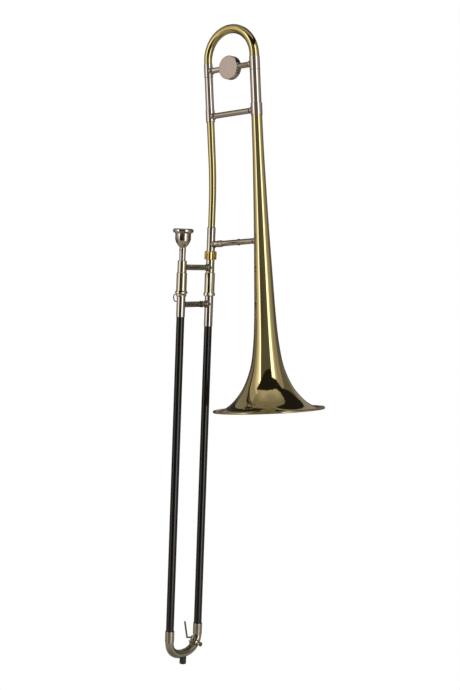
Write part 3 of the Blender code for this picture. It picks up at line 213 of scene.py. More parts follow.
def lacquered_brass(name, pale, deep, wave=0.02):
    """Polished brass of two close golds under a clear coat."""
    material, pen, surface = finish(name)
    place = place_of(pen)
    cloud = noise(pen, place, 14.0, 3.0)
    smear = noise(pen, place_of(pen, (1, 1, 0.25)), 90.0, 4.0, 0.6)
    ripple = noise(pen, place_of(pen, (1, 1, 0.12)), 160.0, 2.0)
    surface.inputs["Metallic"].default_value = 1.0
    surface.inputs["Coat Roughness"].default_value = 0.03
    surface.inputs["Coat IOR"].default_value = 1.7
    connect(pen, surface,
            Base_Color=blend(pen, cloud, pale, deep),
            Roughness=0.03 + 0.05 * smear,
            Coat_Weight=0.65 + 0.25 * cloud,
            Normal=bump(pen, ripple, wave, 0.0002))
    return material


BELL_BRASS = lacquered_brass("bell_brass", (0.54, 0.49, 0.24, 1), (0.48, 0.43, 0.19, 1))
TUBE_BRASS = lacquered_brass("tube_brass", (0.53, 0.47, 0.20, 1), (0.47, 0.40, 0.15, 1))
BARREL_BRASS = lacquered_brass("barrel_brass", (0.58, 0.56, 0.44, 1), (0.52, 0.49, 0.35, 1))
# The hook is brass, but its colour is made far darker than the other golds: painted shade for the shadow it
# lies in beside the sleeve.
SHADED_HOOK_BRASS = lacquered_brass("hook_brass_painted_shade", (0.25, 0.21, 0.13, 1), (0.17, 0.14, 0.08, 1))
GILT = lacquered_brass("gilt_nut", (0.74, 0.55, 0.16, 1), (0.64, 0.45, 0.11, 1))
print("brass:", BELL_BRASS.name, TUBE_BRASS.name, BARREL_BRASS.name, SHADED_HOOK_BRASS.name, GILT.name)

# %% [markdown]
# The sleeves, ferrules and braces are nickel silver, which is warmer and duller than the chrome of the inner
# tubes. The braces and the end crook are less polished than the sleeves, and the mouthpiece is silver plated.
# Fine hairlines run round the turned pieces, so their noise is squeezed along the height.

# %% Nickel silver and silver plate


def white_metal(name, pale, deep, dull, wave=0.012):
    """Bare or plated white metal with fine hairlines; dull is its least roughness."""
    material, pen, surface = finish(name)
    place = place_of(pen)
    cloud = noise(pen, place, 30.0, 3.0)
    hairline = noise(pen, place_of(pen, (0.2, 0.2, 6.0)), 400.0, 3.0, 0.6)
    surface.inputs["Metallic"].default_value = 1.0
    connect(pen, surface,
            Base_Color=blend(pen, cloud, pale, deep),
            Roughness=dull + 0.05 * hairline,
            Normal=bump(pen, hairline, wave, 0.0001))
    return material


NICKEL = white_metal("nickel_silver", (0.60, 0.57, 0.53, 1), (0.54, 0.51, 0.47, 1), 0.03)
BRACE_NICKEL = white_metal("brace_nickel", (0.46, 0.43, 0.38, 1), (0.40, 0.37, 0.32, 1), 0.10)
DARK_NICKEL = white_metal("hand_brace_nickel", (0.40, 0.37, 0.31, 1), (0.32, 0.29, 0.24, 1), 0.16)
SILVER = white_metal("silver_plate", (0.55, 0.51, 0.46, 1), (0.49, 0.46, 0.41, 1), 0.06)
CROOK_NICKEL = white_metal("end_crook_nickel", (0.48, 0.47, 0.39, 1), (0.40, 0.39, 0.32, 1), 0.15)
KEY_BRONZE = white_metal("key_bronze", (0.32, 0.28, 0.22, 1), (0.23, 0.20, 0.16, 1), 0.14)
STEEL = white_metal("spring_steel", (0.50, 0.48, 0.45, 1), (0.42, 0.40, 0.38, 1), 0.14)
CHROME = white_metal("inner_tube_chrome", (0.74, 0.74, 0.74, 1), (0.68, 0.68, 0.68, 1), 0.03)
print("white metals:", NICKEL.name, BRACE_NICKEL.name, CROOK_NICKEL.name, SILVER.name, CHROME.name)

# %% [markdown]
# The counterweight's flat faces are faced off on a lathe and only lightly polished, so they look like pink
# satin and not like a mirror. Rings round their middle carry the tool's marks.

# %% Satin face of the counterweight
TOOL_RINGS = 14000.0               # radians of the ring wave for each metre from the middle


def satin_face(centre):
    """Faced nickel silver with rings round a centre."""
    material, pen, surface = finish("weight_satin")
    place = place_of(pen)
    away = pen.node("VectorMath", {"operation": "DISTANCE"}, {0: place, 1: centre}, output=1)
    ring = pen.node("Math", {"operation": "SINE"}, {0: away * TOOL_RINGS})
    cloud = noise(pen, place, 160.0, 4.0, 0.6)
    surface.inputs["Metallic"].default_value = 1.0
    connect(pen, surface,
            Base_Color=blend(pen, cloud, (0.47, 0.42, 0.39, 1), (0.42, 0.37, 0.34, 1)),
            Roughness=0.30 + 0.06 * cloud,
            Normal=bump(pen, ring * 0.5 + cloud, 0.05, 0.00005))
    return material


SATIN = satin_face(middle("counterweight_front"))
print("satin face drawn round", middle("counterweight_front"))

# %% [markdown]
# The long outer tubes are gloss black. Under the clear coat the black is not quite even, and handling
# leaves thin streaks along the slide, which show only as a change of gloss.

# %% Gloss black slide tubes


def slide_black():
    """Gloss black with faint streaks along the slide."""
    material, pen, surface = finish("slide_black")
    streak = noise(pen, place_of(pen, (1, 1, 0.03)), 900.0, 3.0, 0.7)
    cloud = noise(pen, place_of(pen), 60.0, 3.0)
    surface.inputs["Specular IOR Level"].default_value = 0.6
    connect(pen, surface,
            Base_Color=blend(pen, cloud, (0.003, 0.003, 0.003, 1), (0.006, 0.006, 0.005, 1)),
            Roughness=0.06 + 0.10 * streak,
            Normal=bump(pen, streak, 0.01, 0.00005))
    return material


BLACK = slide_black()
print("black:", BLACK.name)

# %% [markdown]
# Rubber and cork are the only pieces that are not metal. The bumper and the stops inside the barrels are
# matt black with a fine pebble, and the water key's cork has dark pores in a warm ground.

# %% Rubber and cork


def soft_stop(name, pale, deep, scale, rough, depth):
    """A matt grain of two tones, as deep as depth in metres."""
    material, pen, surface = finish(name)
    grain = noise(pen, place_of(pen), scale, 5.0, 0.65)
    connect(pen, surface,
            Base_Color=blend(pen, grain, deep, pale),
            Roughness=rough + 0.15 * grain,
            Normal=bump(pen, grain, 0.5, depth))
    return material


RUBBER = soft_stop("bumper_rubber", (0.030, 0.029, 0.028, 1), (0.008, 0.008, 0.008, 1), 900.0, 0.45, 0.0002)
CORK = soft_stop("key_cork", (0.55, 0.36, 0.19, 1), (0.20, 0.11, 0.05, 1), 1400.0, 0.75, 0.0003)
print("soft stops:", RUBBER.name, CORK.name)

# %% [markdown]
# A turned piece is its section spun round a line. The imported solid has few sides, but its section is exact,
# so the section is read back from one side of the solid, its corners are eased by a fraction of a
# millimetre and it is spun again with many sides.

# %% Read a section back from a turned piece
WELD = 4e-6                        # corners of neighbouring facets closer than this are one corner


def joined_facets(node):
    """The piece's solid with the doubled corners of its facets joined."""
    form = bmesh.new()
    form.from_mesh(nodes[node].data)
    bmesh.ops.remove_doubles(form, verts=form.verts, dist=WELD)
    return form


def line_frame(seat, line):
    """The matrix that carries the Z axis onto a line through a seat."""
    return Matrix.Translation(seat) @ line.to_track_quat("Z", "Y").to_matrix().to_4x4()


def section(node, seat, line):
    """The (radius, height) corners on one side of a turned solid, in order, and whether they close."""
    form = joined_facets(node)
    form.transform(line_frame(seat, line).inverted())
    side = max(form.verts, key=lambda corner: corner.co.xy.length).co.xy.normalized()
    kept = {corner for corner in form.verts
            if abs(side.cross(corner.co.xy)) < WELD and side.dot(corner.co.xy) > -WELD}
    near = {corner: [edge.other_vert(corner) for edge in corner.link_edges
                     if edge.other_vert(corner) in kept] for corner in kept}
    ends = [corner for corner in kept if len(near[corner]) == 1]
    walk = [min(ends or kept, key=lambda corner: (corner.co.z, corner.co.x))]
    while True:
        onward = [corner for corner in near[walk[-1]] if corner not in walk]
        if not onward:
            break
        walk.append(onward[0])
    outline = [Vector((side.dot(corner.co.xy), corner.co.z)) for corner in walk]
    form.free()
    return outline, not ends


bell_section, bell_closed = section("bell", BELL_SEAT, BELL_LINE)
print("the bell's section has", len(bell_section), "corners, closed:", bell_closed)

# %% [markdown]
# Real edges are never sharp. Each sharp corner of a section is cut back by a fraction of a millimetre, and a
# short curve takes its place. Gentle corners belong to a curve already, so they stay.

# %% Ease corners
SHARP_TURN = math.radians(24)
CUT_SHARE = 0.4                    # the most of a side that one cut may take
CURVE_SHARES = (0.0, 0.33, 0.67, 1.0)


def turn_at(before, corner, after):
    """How far an outline turns at a corner."""
    first = corner - before
    second = after - corner
    return first.angle(second) if first.length * second.length > 0 else 0.0


def eased(outline, closed, reach):
    """The outline with each sharp corner replaced by a short curve."""
    count = len(outline)
    points = []
    for index, corner in enumerate(outline):
        before = outline[index - 1]
        after = outline[(index + 1) % count]
        is_end = not closed and index in (0, count - 1)
        if is_end or turn_at(before, corner, after) < SHARP_TURN:
            points.append(corner)
            continue
        cut_in = min(reach, CUT_SHARE * (corner - before).length)
        cut_out = min(reach, CUT_SHARE * (after - corner).length)
        start = corner + (before - corner).normalized() * cut_in
        stop = corner + (after - corner).normalized() * cut_out
        for share in CURVE_SHARES:
            points.append(start.lerp(corner, share).lerp(corner.lerp(stop, share), share))
    return points


square = [Vector(corner) for corner in ((0, 0), (1, 0), (1, 1), (0, 1))]
print("a square has", len(eased(square, True, 0.1)), "points once its corners are eased")

# %% [markdown]
# The bell needs the opposite. Its flare is one long curve with no sharp corners but those of its ends, and
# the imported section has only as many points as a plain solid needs. So more points are laid on a smooth
# cubic curve through them.

# %% Smooth the flare
FLARE_STEPS = 3                    # points laid for each one of the section


def handle(before, corner, after, side):
    """A third of a side, turned along the curve at a gentle corner and straight at a sharp one."""
    if turn_at(before, corner, after) < SHARP_TURN:
        return (after - before).normalized() * side.length / 3
    return side / 3


def flowing(outline, steps):
    """More points on a smooth curve through a closed outline, which keeps its sharp corners."""
    count = len(outline)
    points = []
    for index, corner in enumerate(outline):
        before = outline[index - 1]
        after = outline[(index + 1) % count]
        beyond = outline[(index + 2) % count]
        leave = handle(before, corner, after, after - corner)
        arrive = handle(corner, after, beyond, after - corner)
        for step in range(steps):
            share = step / steps
            rest = 1 - share
            points.append(corner * rest ** 3 + (corner + leave) * 3 * rest ** 2 * share
                          + (after - arrive) * 3 * rest * share ** 2 + after * share ** 3)
    return points


smooth_flare = flowing(bell_section, FLARE_STEPS)
print("the flare now has", len(smooth_flare), "points")

# %% [markdown]
# A spun piece could come from a Screw modifier, but a loop shows plainly what it does: one ring of corners
# for each point of the section, and a quad between each pair of neighbours. A point on the line itself is
# one corner, and the faces beside it are triangles.

# %% Spin a section round its line


def hang(name, form):
    """The form as a shown object with smooth shading."""
    mesh = bpy.data.meshes.new(name)
    form.to_mesh(mesh)
    form.free()
    for polygon in mesh.polygons:
        polygon.use_smooth = True
    piece = bpy.data.objects.new(name, mesh)
    bpy.context.scene.collection.objects.link(piece)
    return piece


def spin(name, outline, closed, seat, line, sides):
    """A smooth turned mesh from a section."""
    form = bmesh.new()
    rings = []
    for radius, height in outline:
        if radius < WELD:
            rings.append([form.verts.new((0, 0, height))] * sides)
            continue
        rings.append([form.verts.new((radius * math.cos(math.tau * side / sides),
                                      radius * math.sin(math.tau * side / sides), height))
                      for side in range(sides)])
    pairs = list(zip(rings, rings[1:] + rings[:1]))
    for first, second in pairs if closed else pairs[:-1]:
        for side in range(sides):
            after = (side + 1) % sides
            corners = []
            for corner in (first[side], first[after], second[after], second[side]):
                if corner not in corners:
                    corners.append(corner)
            if len(corners) > 2:
                form.faces.new(corners)
    bmesh.ops.recalc_face_normals(form, faces=form.faces)
    form.transform(line_frame(seat, line))
    return hang(name, form)


print("the lathe is ready")

# %% [markdown]
# A new piece stands in for a packed one: it rides on the same body and replaces the same node. A Weighted
# Normal modifier lets the big faces keep their own shading, so that only the eased corners catch a line of
# light.


def keep_flats(piece):
    """Big faces keep their own shading beside the eased corners."""
    modifier = piece.modifiers.new("big_faces_rule", "WEIGHTED_NORMAL")
    modifier.keep_sharp = True
    modifier.weight = 80


def dress(piece, node, material):
    """The piece takes the node's place, rides on its body and wears a finish."""
    piece.data.materials.clear()
    piece.data.materials.append(material)
    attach(piece, nodes[node]["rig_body"])
    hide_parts(node)


def turned(node, seat, line, material, sides=48, reach=0.00025):
    """A turned piece made again from its own section."""
    outline, closed = section(node, seat, line)
    if not closed:
        outline = [Vector((0, outline[0].y))] + outline + [Vector((0, outline[-1].y))]
    piece = spin(node + "_turned", eased(outline, closed, reach), closed, seat, line, sides)
    keep_flats(piece)
    dress(piece, node, material)
    return piece


# %% [markdown]
# The bell is spun from one sheet of brass: a slim stem that opens into a flare, with its edge rolled over
# a wire. It is the largest mirror on the instrument, so it gets the most sides.

# %% The bell
BELL_SIDES = 144
bell = spin("bell_shell", smooth_flare, True, BELL_SEAT, BELL_LINE, BELL_SIDES)
dress(bell, "bell", BELL_BRASS)
print("bell faces:", len(bell.data.polygons))

# %% [markdown]
# The tubes beside the bell share its lean. Sleeves and ferrules are nickel silver, and the inner legs of
# the tuning slide shine inside them.

# %% Tubes that lean with the bell
for node in ("bell_ferrule", "bell_sleeve", "tuning_leg_bell", "tuning_ferrule_bell"):
    turned(node, BELL_SEAT, BELL_LINE, NICKEL)
for node in ("gooseneck_ferrule", "gooseneck_sleeve", "tuning_leg_neck", "tuning_ferrule_neck"):
    turned(node, NECK_SEAT, BELL_LINE, NICKEL)
print("eight leaning tubes made")

# %% [markdown]
# Everything on the hand slide is turned about one of two upright lines, the mouthpiece's side or the
# bell's side. One list of pieces and finishes per line is enough.

# %% Upright tubes of the hand slide
MOUTH_SIDE = {"mouthpiece_receiver": BARREL_BRASS, "barrel_mouth": BARREL_BRASS, "barrel_cork_mouth": RUBBER,
              "inner_tube_mouth": CHROME, "stocking_mouth": CHROME, "outer_tube_mouth": BLACK,
              "top_sleeve_mouth": NICKEL, "end_ferrule_mouth": CROOK_NICKEL}
BELL_SIDE = {"neck_receiver": NICKEL, "slide_tenon": BARREL_BRASS, "tenon_sleeve": BARREL_BRASS,
             "barrel_cork_bell": RUBBER, "inner_tube_bell": CHROME, "stocking_bell": CHROME,
             "outer_tube_bell": BLACK, "top_sleeve_bell": NICKEL, "end_ferrule_bell": CROOK_NICKEL}
for node, material in MOUTH_SIDE.items():
    turned(node, MOUTH_SIDE_SEAT, UPRIGHT, material)
for node, material in BELL_SIDE.items():
    turned(node, BELL_SIDE_SEAT, UPRIGHT, material)
turned("mouthpiece", MOUTH_SIDE_SEAT, UPRIGHT, SILVER, sides=72, reach=0.0005)
turned("rubber_bumper", middle("rubber_bumper"), UPRIGHT, RUBBER, reach=0.0006)
print(len(MOUTH_SIDE) + len(BELL_SIDE) + 2, "upright pieces made")

# %% [markdown]
# The two bars beside the bell and two rings of the braces have no cuts, so they are turned anew as well,
# about lines that cross between the tubes.

# %% Brace bars and rings
for node in ("upper_brace", "lower_brace", "lower_brace_ring"):
    turned(node, middle(node), ACROSS, BRACE_NICKEL)
turned("outer_brace_ring", middle("outer_brace_ring"), SIDEWAYS, DARK_NICKEL)
print("four brace pieces made")

# %% [markdown]
# The fluted nut, the lock's hook and the water key have the right shape already. They are copied with joined
# corners, smooth shading across gentle turns and a small bevel on the sharp edges.

# %% Copy the cut pieces
# The lock's hook wears the darker brass, whose extra darkness is painted shade.
CUT_PIECES = {
    "lock_nut": GILT, "lock_hook": SHADED_HOOK_BRASS, "water_nipple": TUBE_BRASS, "key_saddle": CROOK_NICKEL,
    "key_screw": STEEL, "key_spring": STEEL, "water_key": KEY_BRONZE, "key_cork": CORK,
}
CREASE = math.radians(34)


def smoothed(node, material, edge=0.00015):
    """A smooth copy of a piece whose shape is right, with its sharp edges bevelled."""
    piece = hang(node + "_finished", joined_facets(node))
    piece.data.set_sharp_from_angle(angle=CREASE)
    modifier = piece.modifiers.new("eased_edges", "BEVEL")
    modifier.limit_method = "ANGLE"
    modifier.angle_limit = CREASE
    modifier.width = edge
    modifier.segments = 2
    keep_flats(piece)
    dress(piece, node, material)
    return piece


for node, material in CUT_PIECES.items():
    smoothed(node, material)
print(len(CUT_PIECES), "pieces copied")

# %% [markdown]
# Brace feet hug a tube, and the lock's ring and its barrel have a notch, so they can't be turned anew. Planes
# through the piece's axis cut every facet into narrow strips, and each corner moves out from its facet to
# the true round. The cut of a foot or a notch stays as it is. The facets' first corner is found from all
# the corners' turns: a mean gets near it, and the middle one of the sorted turns is exact.

# %% Round the facets of turned pieces that have cuts
STRIPS = 4                         # of each facet
SAME_PLANE = math.radians(1)       # triangles that turn less than this are one facet
ON_PLANE = 1e-7                    # a corner this near a cutting plane lies on it


def rounded(node, material, seat, line, sides):
    """A copy of a turned piece of so many sides, bent to true rounds about a line through a seat."""
    form = joined_facets(node)
    bmesh.ops.dissolve_limit(form, angle_limit=SAME_PLANE, verts=form.verts, edges=form.edges)
    to_line = line_frame(seat, line)
    form.transform(to_line.inverted())
    facet = math.tau / sides
    turns = [math.atan2(corner.co.y, corner.co.x) for corner in form.verts]
    lean = math.atan2(sum(math.sin(sides * turn) for turn in turns),
                      sum(math.cos(sides * turn) for turn in turns)) / sides
    start = lean + sorted((turn - lean + facet / 2) % facet for turn in turns)[len(turns) // 2] - facet / 2
    for strip in range(sides * STRIPS // 2):
        turn = start + strip * facet / STRIPS
        bmesh.ops.bisect_plane(form, geom=form.verts[:] + form.edges[:] + form.faces[:], dist=ON_PLANE,
                               plane_co=(0, 0, 0), plane_no=(-math.sin(turn), math.cos(turn), 0))
    for corner in form.verts:
        off = (math.atan2(corner.co.y, corner.co.x) - start) % facet - facet / 2
        corner.co.xy *= math.cos(off) / math.cos(facet / 2)
    form.transform(to_line)
    piece = hang(node + "_rounded", form)
    piece.data.set_sharp_from_angle(angle=CREASE)
    dress(piece, node, material)
    return piece


UPPER_SEAT = middle("upper_brace")
LOWER_SEAT = middle("lower_brace")
WEIGHT_SEAT = middle("counterweight_rear") * Vector((0, 1, 1))
ROUND_PIECES = {
    "upper_brace_foot_bell": (BRACE_NICKEL, UPPER_SEAT, ACROSS, 12),
    "upper_brace_foot_neck": (BRACE_NICKEL, UPPER_SEAT, ACROSS, 12),
    "lower_brace_foot_bell": (BRACE_NICKEL, LOWER_SEAT, ACROSS, 12),
    "lower_brace_socket": (BRACE_NICKEL, LOWER_SEAT, ACROSS, 12),
    "tuning_brace": (BRACE_NICKEL, WEIGHT_SEAT, ACROSS, 12),
    "counterweight_screw": (STEEL, middle("counterweight_screw"), SIDEWAYS, 12),
    "inner_brace": (DARK_NICKEL, middle("inner_brace"), SIDEWAYS, 12),
    "inner_brace_foot": (DARK_NICKEL, middle("inner_brace"), SIDEWAYS, 12),
    "outer_brace": (DARK_NICKEL, middle("outer_brace"), SIDEWAYS, 12),
    "outer_brace_foot": (DARK_NICKEL, middle("outer_brace"), SIDEWAYS, 12),
    "barrel_bell": (BARREL_BRASS, BELL_SIDE_SEAT, UPRIGHT, 16),
    "lock_ring": (BARREL_BRASS, MOUTH_SIDE_SEAT, UPRIGHT, 16),
}
for node, (material, seat, line, sides) in ROUND_PIECES.items():
    print(node, "faces:", len(rounded(node, material, seat, line, sides).data.polygons))

# %% [markdown]
# The counterweight is two nickel discs clamped round the tuning slide's brace. Each half is a turned disc
# with a bevelled rim, and a Boolean cuts the brace's groove from it. Only the flat faces are satin.

# %% Counterweight
WEIGHT_RADIUS = 0.0215
WEIGHT_BEVEL = 0.0012
WEIGHT_EDGE = 0.0002               # cut back from each corner of the section
WEIGHT_SIDES = 96
WEIGHT_CREASE = math.radians(40)
GROOVE_RADIUS = 0.0054             # of the groove round the brace
GROOVE_HALF = 0.03                 # half the length of the tool that cuts it
GROOVE_SIDES = 32
FLAT_ENOUGH = 0.99                 # of a face's normal along X, for the satin


def weight_half(node, way):
    """One half of the weight; way is the side of the brace it lies on."""
    low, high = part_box(node)
    seam, face = (low.x, high.x) if way > 0 else (high.x, low.x)
    outline = [Vector((0, seam)), Vector((WEIGHT_RADIUS, seam)),
               Vector((WEIGHT_RADIUS, face - way * WEIGHT_BEVEL)),
               Vector((WEIGHT_RADIUS - WEIGHT_BEVEL, face)), Vector((0, face))]
    piece = spin(node + "_turned", eased(outline, False, WEIGHT_EDGE), False, WEIGHT_SEAT, SIDEWAYS,
                 WEIGHT_SIDES)
    tool = [Vector((0, -GROOVE_HALF)), Vector((GROOVE_RADIUS, -GROOVE_HALF)),
            Vector((GROOVE_RADIUS, GROOVE_HALF)), Vector((0, GROOVE_HALF))]
    groove = spin("tool_groove_" + node, tool, False, WEIGHT_SEAT, ACROSS, GROOVE_SIDES)
    cut = piece.modifiers.new("groove", "BOOLEAN")
    cut.object = groove
    bpy.context.view_layer.update()
    cut_mesh = bpy.data.meshes.new_from_object(piece.evaluated_get(bpy.context.evaluated_depsgraph_get()))
    piece.modifiers.clear()
    piece.data = cut_mesh
    bpy.data.objects.remove(groove)
    piece.data.set_sharp_from_angle(angle=WEIGHT_CREASE)
    keep_flats(piece)
    dress(piece, node, NICKEL)
    piece.data.materials.append(SATIN)
    for polygon in piece.data.polygons:
        if abs(polygon.normal.x) > FLAT_ENOUGH:
            polygon.material_index = 1
    return piece


for node, way in (("counterweight_front", -1), ("counterweight_rear", 1)):
    print(node, "faces:", len(weight_half(node, way).data.polygons))

# %% [markdown]
# Three tubes are bent: the gooseneck by the bell's lean, the tuning crook in a half circle and the end crook
# in a squarer bow. Each lies in a plane, so a ring of corners stands across its middle line at every step,
# and a second set of rings makes the wall.

# %% Sweep a bent tube
BENT_SIDES = 40


def bent_tube(node, spine, radii, flat_way, wall, material):
    """A tube along points in a plane, whose normal is flat_way."""
    count = len(spine)
    form = bmesh.new()
    rings = []
    walk = [(index, 0.0) for index in range(count)] + [(index, wall) for index in reversed(range(count))]
    for index, inset in walk:
        ahead = spine[min(index + 1, count - 1)] - spine[max(index - 1, 0)]
        out = flat_way.cross(ahead.normalized())
        ring = []
        for side in range(BENT_SIDES):
            angle = math.tau * side / BENT_SIDES
            spoke = out * math.cos(angle) + flat_way * math.sin(angle)
            ring.append(form.verts.new(spine[index] + spoke * (radii[index] - inset)))
        rings.append(ring)
    for first, second in zip(rings, rings[1:] + rings[:1]):
        for side in range(BENT_SIDES):
            after = (side + 1) % BENT_SIDES
            form.faces.new((first[side], first[after], second[after], second[side]))
    bmesh.ops.recalc_face_normals(form, faces=form.faces)
    piece = hang(node + "_bent", form)
    piece.data.set_sharp_from_angle(angle=CREASE)
    dress(piece, node, material)
    return piece


print("tubes can be bent")

# %% [markdown]
# The gooseneck starts on the tuning side's line and ends on the slide's upright line. A wide bend where the
# two lines cross joins them, and the tube narrows a little on its way down.

# %% Gooseneck
NECK_BEND_RADIUS = 0.890
NECK_TOP_RADIUS = 0.0143 / 2
NECK_FOOT_RADIUS = 0.0126 / 2
NECK_WALL = 0.0005
NECK_STEPS = 24


def gooseneck_spine():
    """The gooseneck's middle line, from its ferrule down to its receiver."""
    low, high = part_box("gooseneck")
    crossing = NECK_SEAT + BELL_LINE * ((BELL_SIDE_SEAT.y - NECK_SEAT.y) / BELL_LINE.y)
    lean = BELL_LINE.angle(UPRIGHT)
    reach = NECK_BEND_RADIUS * math.tan(lean / 2)
    top_height = high.z - NECK_TOP_RADIUS * math.sin(lean)
    top = crossing + BELL_LINE * ((top_height - crossing.z) / BELL_LINE.z)
    hub = crossing - UPRIGHT * reach + Vector((0, NECK_BEND_RADIUS, 0))
    points = [top]
    for step in range(NECK_STEPS + 1):
        angle = lean * (1 - step / NECK_STEPS)
        points.append(hub + NECK_BEND_RADIUS * Vector((0, -math.cos(angle), math.sin(angle))))
    points.append(Vector((0, BELL_SIDE_SEAT.y, low.z)))
    return points


neck_spine = gooseneck_spine()
neck_lengths = [(after - before).length for before, after in zip(neck_spine, neck_spine[1:])]
neck_total = sum(neck_lengths)
neck_radii = [NECK_TOP_RADIUS + (NECK_FOOT_RADIUS - NECK_TOP_RADIUS) * sum(neck_lengths[:index]) / neck_total
              for index in range(len(neck_spine))]
bent_tube("gooseneck", neck_spine, neck_radii, SIDEWAYS, NECK_WALL, TUBE_BRASS)
print("gooseneck length", round(neck_total, 4))

# %% [markdown]
# The tuning crook is a half circle between the two leaning legs. It widens from the gooseneck's side to the
# bell's side, as the whole air column does.

# %% Tuning crook
BOW_HEIGHT = 0.6011                # of the half circle's middle above the stand's seat, along the bell
CROOK_START = 0.5892               # where the crook begins inside its ferrules
CROOK_NECK_RADIUS = 0.0148 / 2
CROOK_BELL_RADIUS = 0.0179 / 2
CROOK_WALL = 0.0005
CROOK_STEPS = 48


def tapered(first, last, count):
    """Radii that change evenly along a tube."""
    return [first + (last - first) * index / (count - 1) for index in range(count)]


def tuning_crook():
    """The bow and the two short straight ends inside its ferrules."""
    hub = BELL_SEAT + ACROSS * LEG_SPACING / 2 + BELL_LINE * BOW_HEIGHT
    points = [NECK_SEAT + BELL_LINE * CROOK_START]
    for step in range(CROOK_STEPS + 1):
        angle = math.pi * step / CROOK_STEPS
        points.append(hub + (ACROSS * math.cos(angle) + BELL_LINE * math.sin(angle)) * LEG_SPACING / 2)
    points.append(BELL_SEAT + BELL_LINE * CROOK_START)
    bow = tapered(CROOK_NECK_RADIUS, CROOK_BELL_RADIUS, CROOK_STEPS + 1)
    return bent_tube("tuning_crook", points, bow[:1] + bow + bow[-1:], SIDEWAYS, CROOK_WALL, TUBE_BRASS)


print("tuning crook faces:", len(tuning_crook().data.polygons))

# %% [markdown]
# The end crook joins the two long tubes at the bottom. Its bow is a little squarer than an ellipse, and the
# formula of a superellipse gives that with one extra number.

# %% End crook
END_CROOK_RADIUS = 0.0156 / 2
END_CROOK_WALL = 0.0006
END_CROOK_DEPTH = 0.0290           # of its middle line below the ferrules
END_CROOK_SQUARENESS = 2.2
END_STEPS = 64


def end_crook():
    """The bow and the two short straight ends inside its ferrules."""
    ferrule_low, ferrule_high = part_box("end_ferrule_bell")
    start = (ferrule_low.z + ferrule_high.z) / 2
    half = (BELL_SIDE_SEAT.x - MOUTH_SIDE_SEAT.x) / 2
    power = 2 / END_CROOK_SQUARENESS
    hub = Vector((BELL_SIDE_SEAT.x - half, BELL_SIDE_SEAT.y, ferrule_low.z))
    points = [Vector((BELL_SIDE_SEAT.x, BELL_SIDE_SEAT.y, start))]
    for step in range(END_STEPS + 1):
        angle = math.pi * step / END_STEPS
        wide = math.copysign(abs(math.cos(angle)) ** power, math.cos(angle))
        deep = abs(math.sin(angle)) ** power
        points.append(hub + Vector((half * wide, 0, -END_CROOK_DEPTH * deep)))
    points.append(Vector((MOUTH_SIDE_SEAT.x, MOUTH_SIDE_SEAT.y, start)))
    return bent_tube("end_crook", points, [END_CROOK_RADIUS] * len(points), Vector((0, 1, 0)),
                     END_CROOK_WALL, CROOK_NICKEL)


print("end crook faces:", len(end_crook().data.polygons))

# %% [markdown]
# Polished metal shows its surroundings more than itself, so the room is part of the finish. The photograph's
# tubes carry upright bands: a dark one where the camera's end of the room is dim, a bright one on each side
# of it from two windows, and walls that fade away from each window. A large shell will carry this light as a
# colour on its corners, and only reflections see it. Formulas say how bright each part of the room is.

# %% Light on the walls
LEFT_WINDOW = (-60.0, -49.5)       # in degrees, counted to the right from the way to the camera
RIGHT_WINDOW = (26.0, 48.5)
RIGHT_FRAME = 58.0                 # the lit frame beside the right window ends here
LEFT_GLARE = 2.5
RIGHT_GLARE = 2.6
FRAME_GLARE = 0.9
LEFT_WALL = (0.03, 1.65)           # light far from the window, and what is added beside it
RIGHT_WALL = (0.05, 0.64)
WALL_FADE = 28.0                   # degrees in which the added light falls to about a third
FRONT_WALL = 0.06
FRONT_GAIN = 0.03                  # towards the right window
FRONT_SPILL = 0.20                 # beside the left window
FRONT_FADE = 5.0


def fading(distance, reach):
    """One at the start, and less with every step away."""
    return math.exp(-max(0.0, distance) / reach)


def ramp(value, start, stop):
    """From nought at the start to one at the stop."""
    return min(1.0, max(0.0, (value - start) / (stop - start)))


def wall_light(turn):
    """How bright the walls are at the height of the tubes."""
    if turn < LEFT_WINDOW[0]:
        return LEFT_WALL[0] + LEFT_WALL[1] * fading(LEFT_WINDOW[0] - turn, WALL_FADE)
    if turn < LEFT_WINDOW[1]:
        return LEFT_GLARE
    if turn < RIGHT_WINDOW[0]:
        spill = FRONT_SPILL * fading(turn - LEFT_WINDOW[1], FRONT_FADE)
        return FRONT_WALL + FRONT_GAIN * ramp(turn, -25, 0) + spill
    if turn < RIGHT_WINDOW[1]:
        return RIGHT_GLARE
    if turn < RIGHT_FRAME:
        return FRAME_GLARE
    return RIGHT_WALL[0] + RIGHT_WALL[1] * fading(turn - RIGHT_FRAME, WALL_FADE)


for turn in (-120, -90, -55, 0, 35, 90, 120):
    print("wall light at", turn, "degrees:", round(wall_light(turn), 2))

# %% [markdown]
# The outside of the flare looks up, at pale screens and dark gaps above the walls. A black drape runs round
# the room beyond them, with its own lower and upper edge, and above it is the bright middle of the ceiling.
# The left walls dim towards the floor, which sends back a dull light from below. A rise is counted in degrees
# up, as a turn is in degrees to the right.

# %% Light on screens, drape, ceiling and floor
SCREENS = {                        # turn from, turn to, level
    "left_behind": (-180, -168, 0.22),
    "left_corner": (-168, -156, 0.05),
    "left_far": (-156, -118, 0.30),
    "left_gap": (-118, -109, 0.13),
    "left_side": (-109, -84, 0.50),
    "front": (-42, 24, 0.15),
    "right_side": (70, 97, 0.45),
    "right_gap": (97, 145, 0.19),
    "right_behind": (145, 180, 0.32),
}
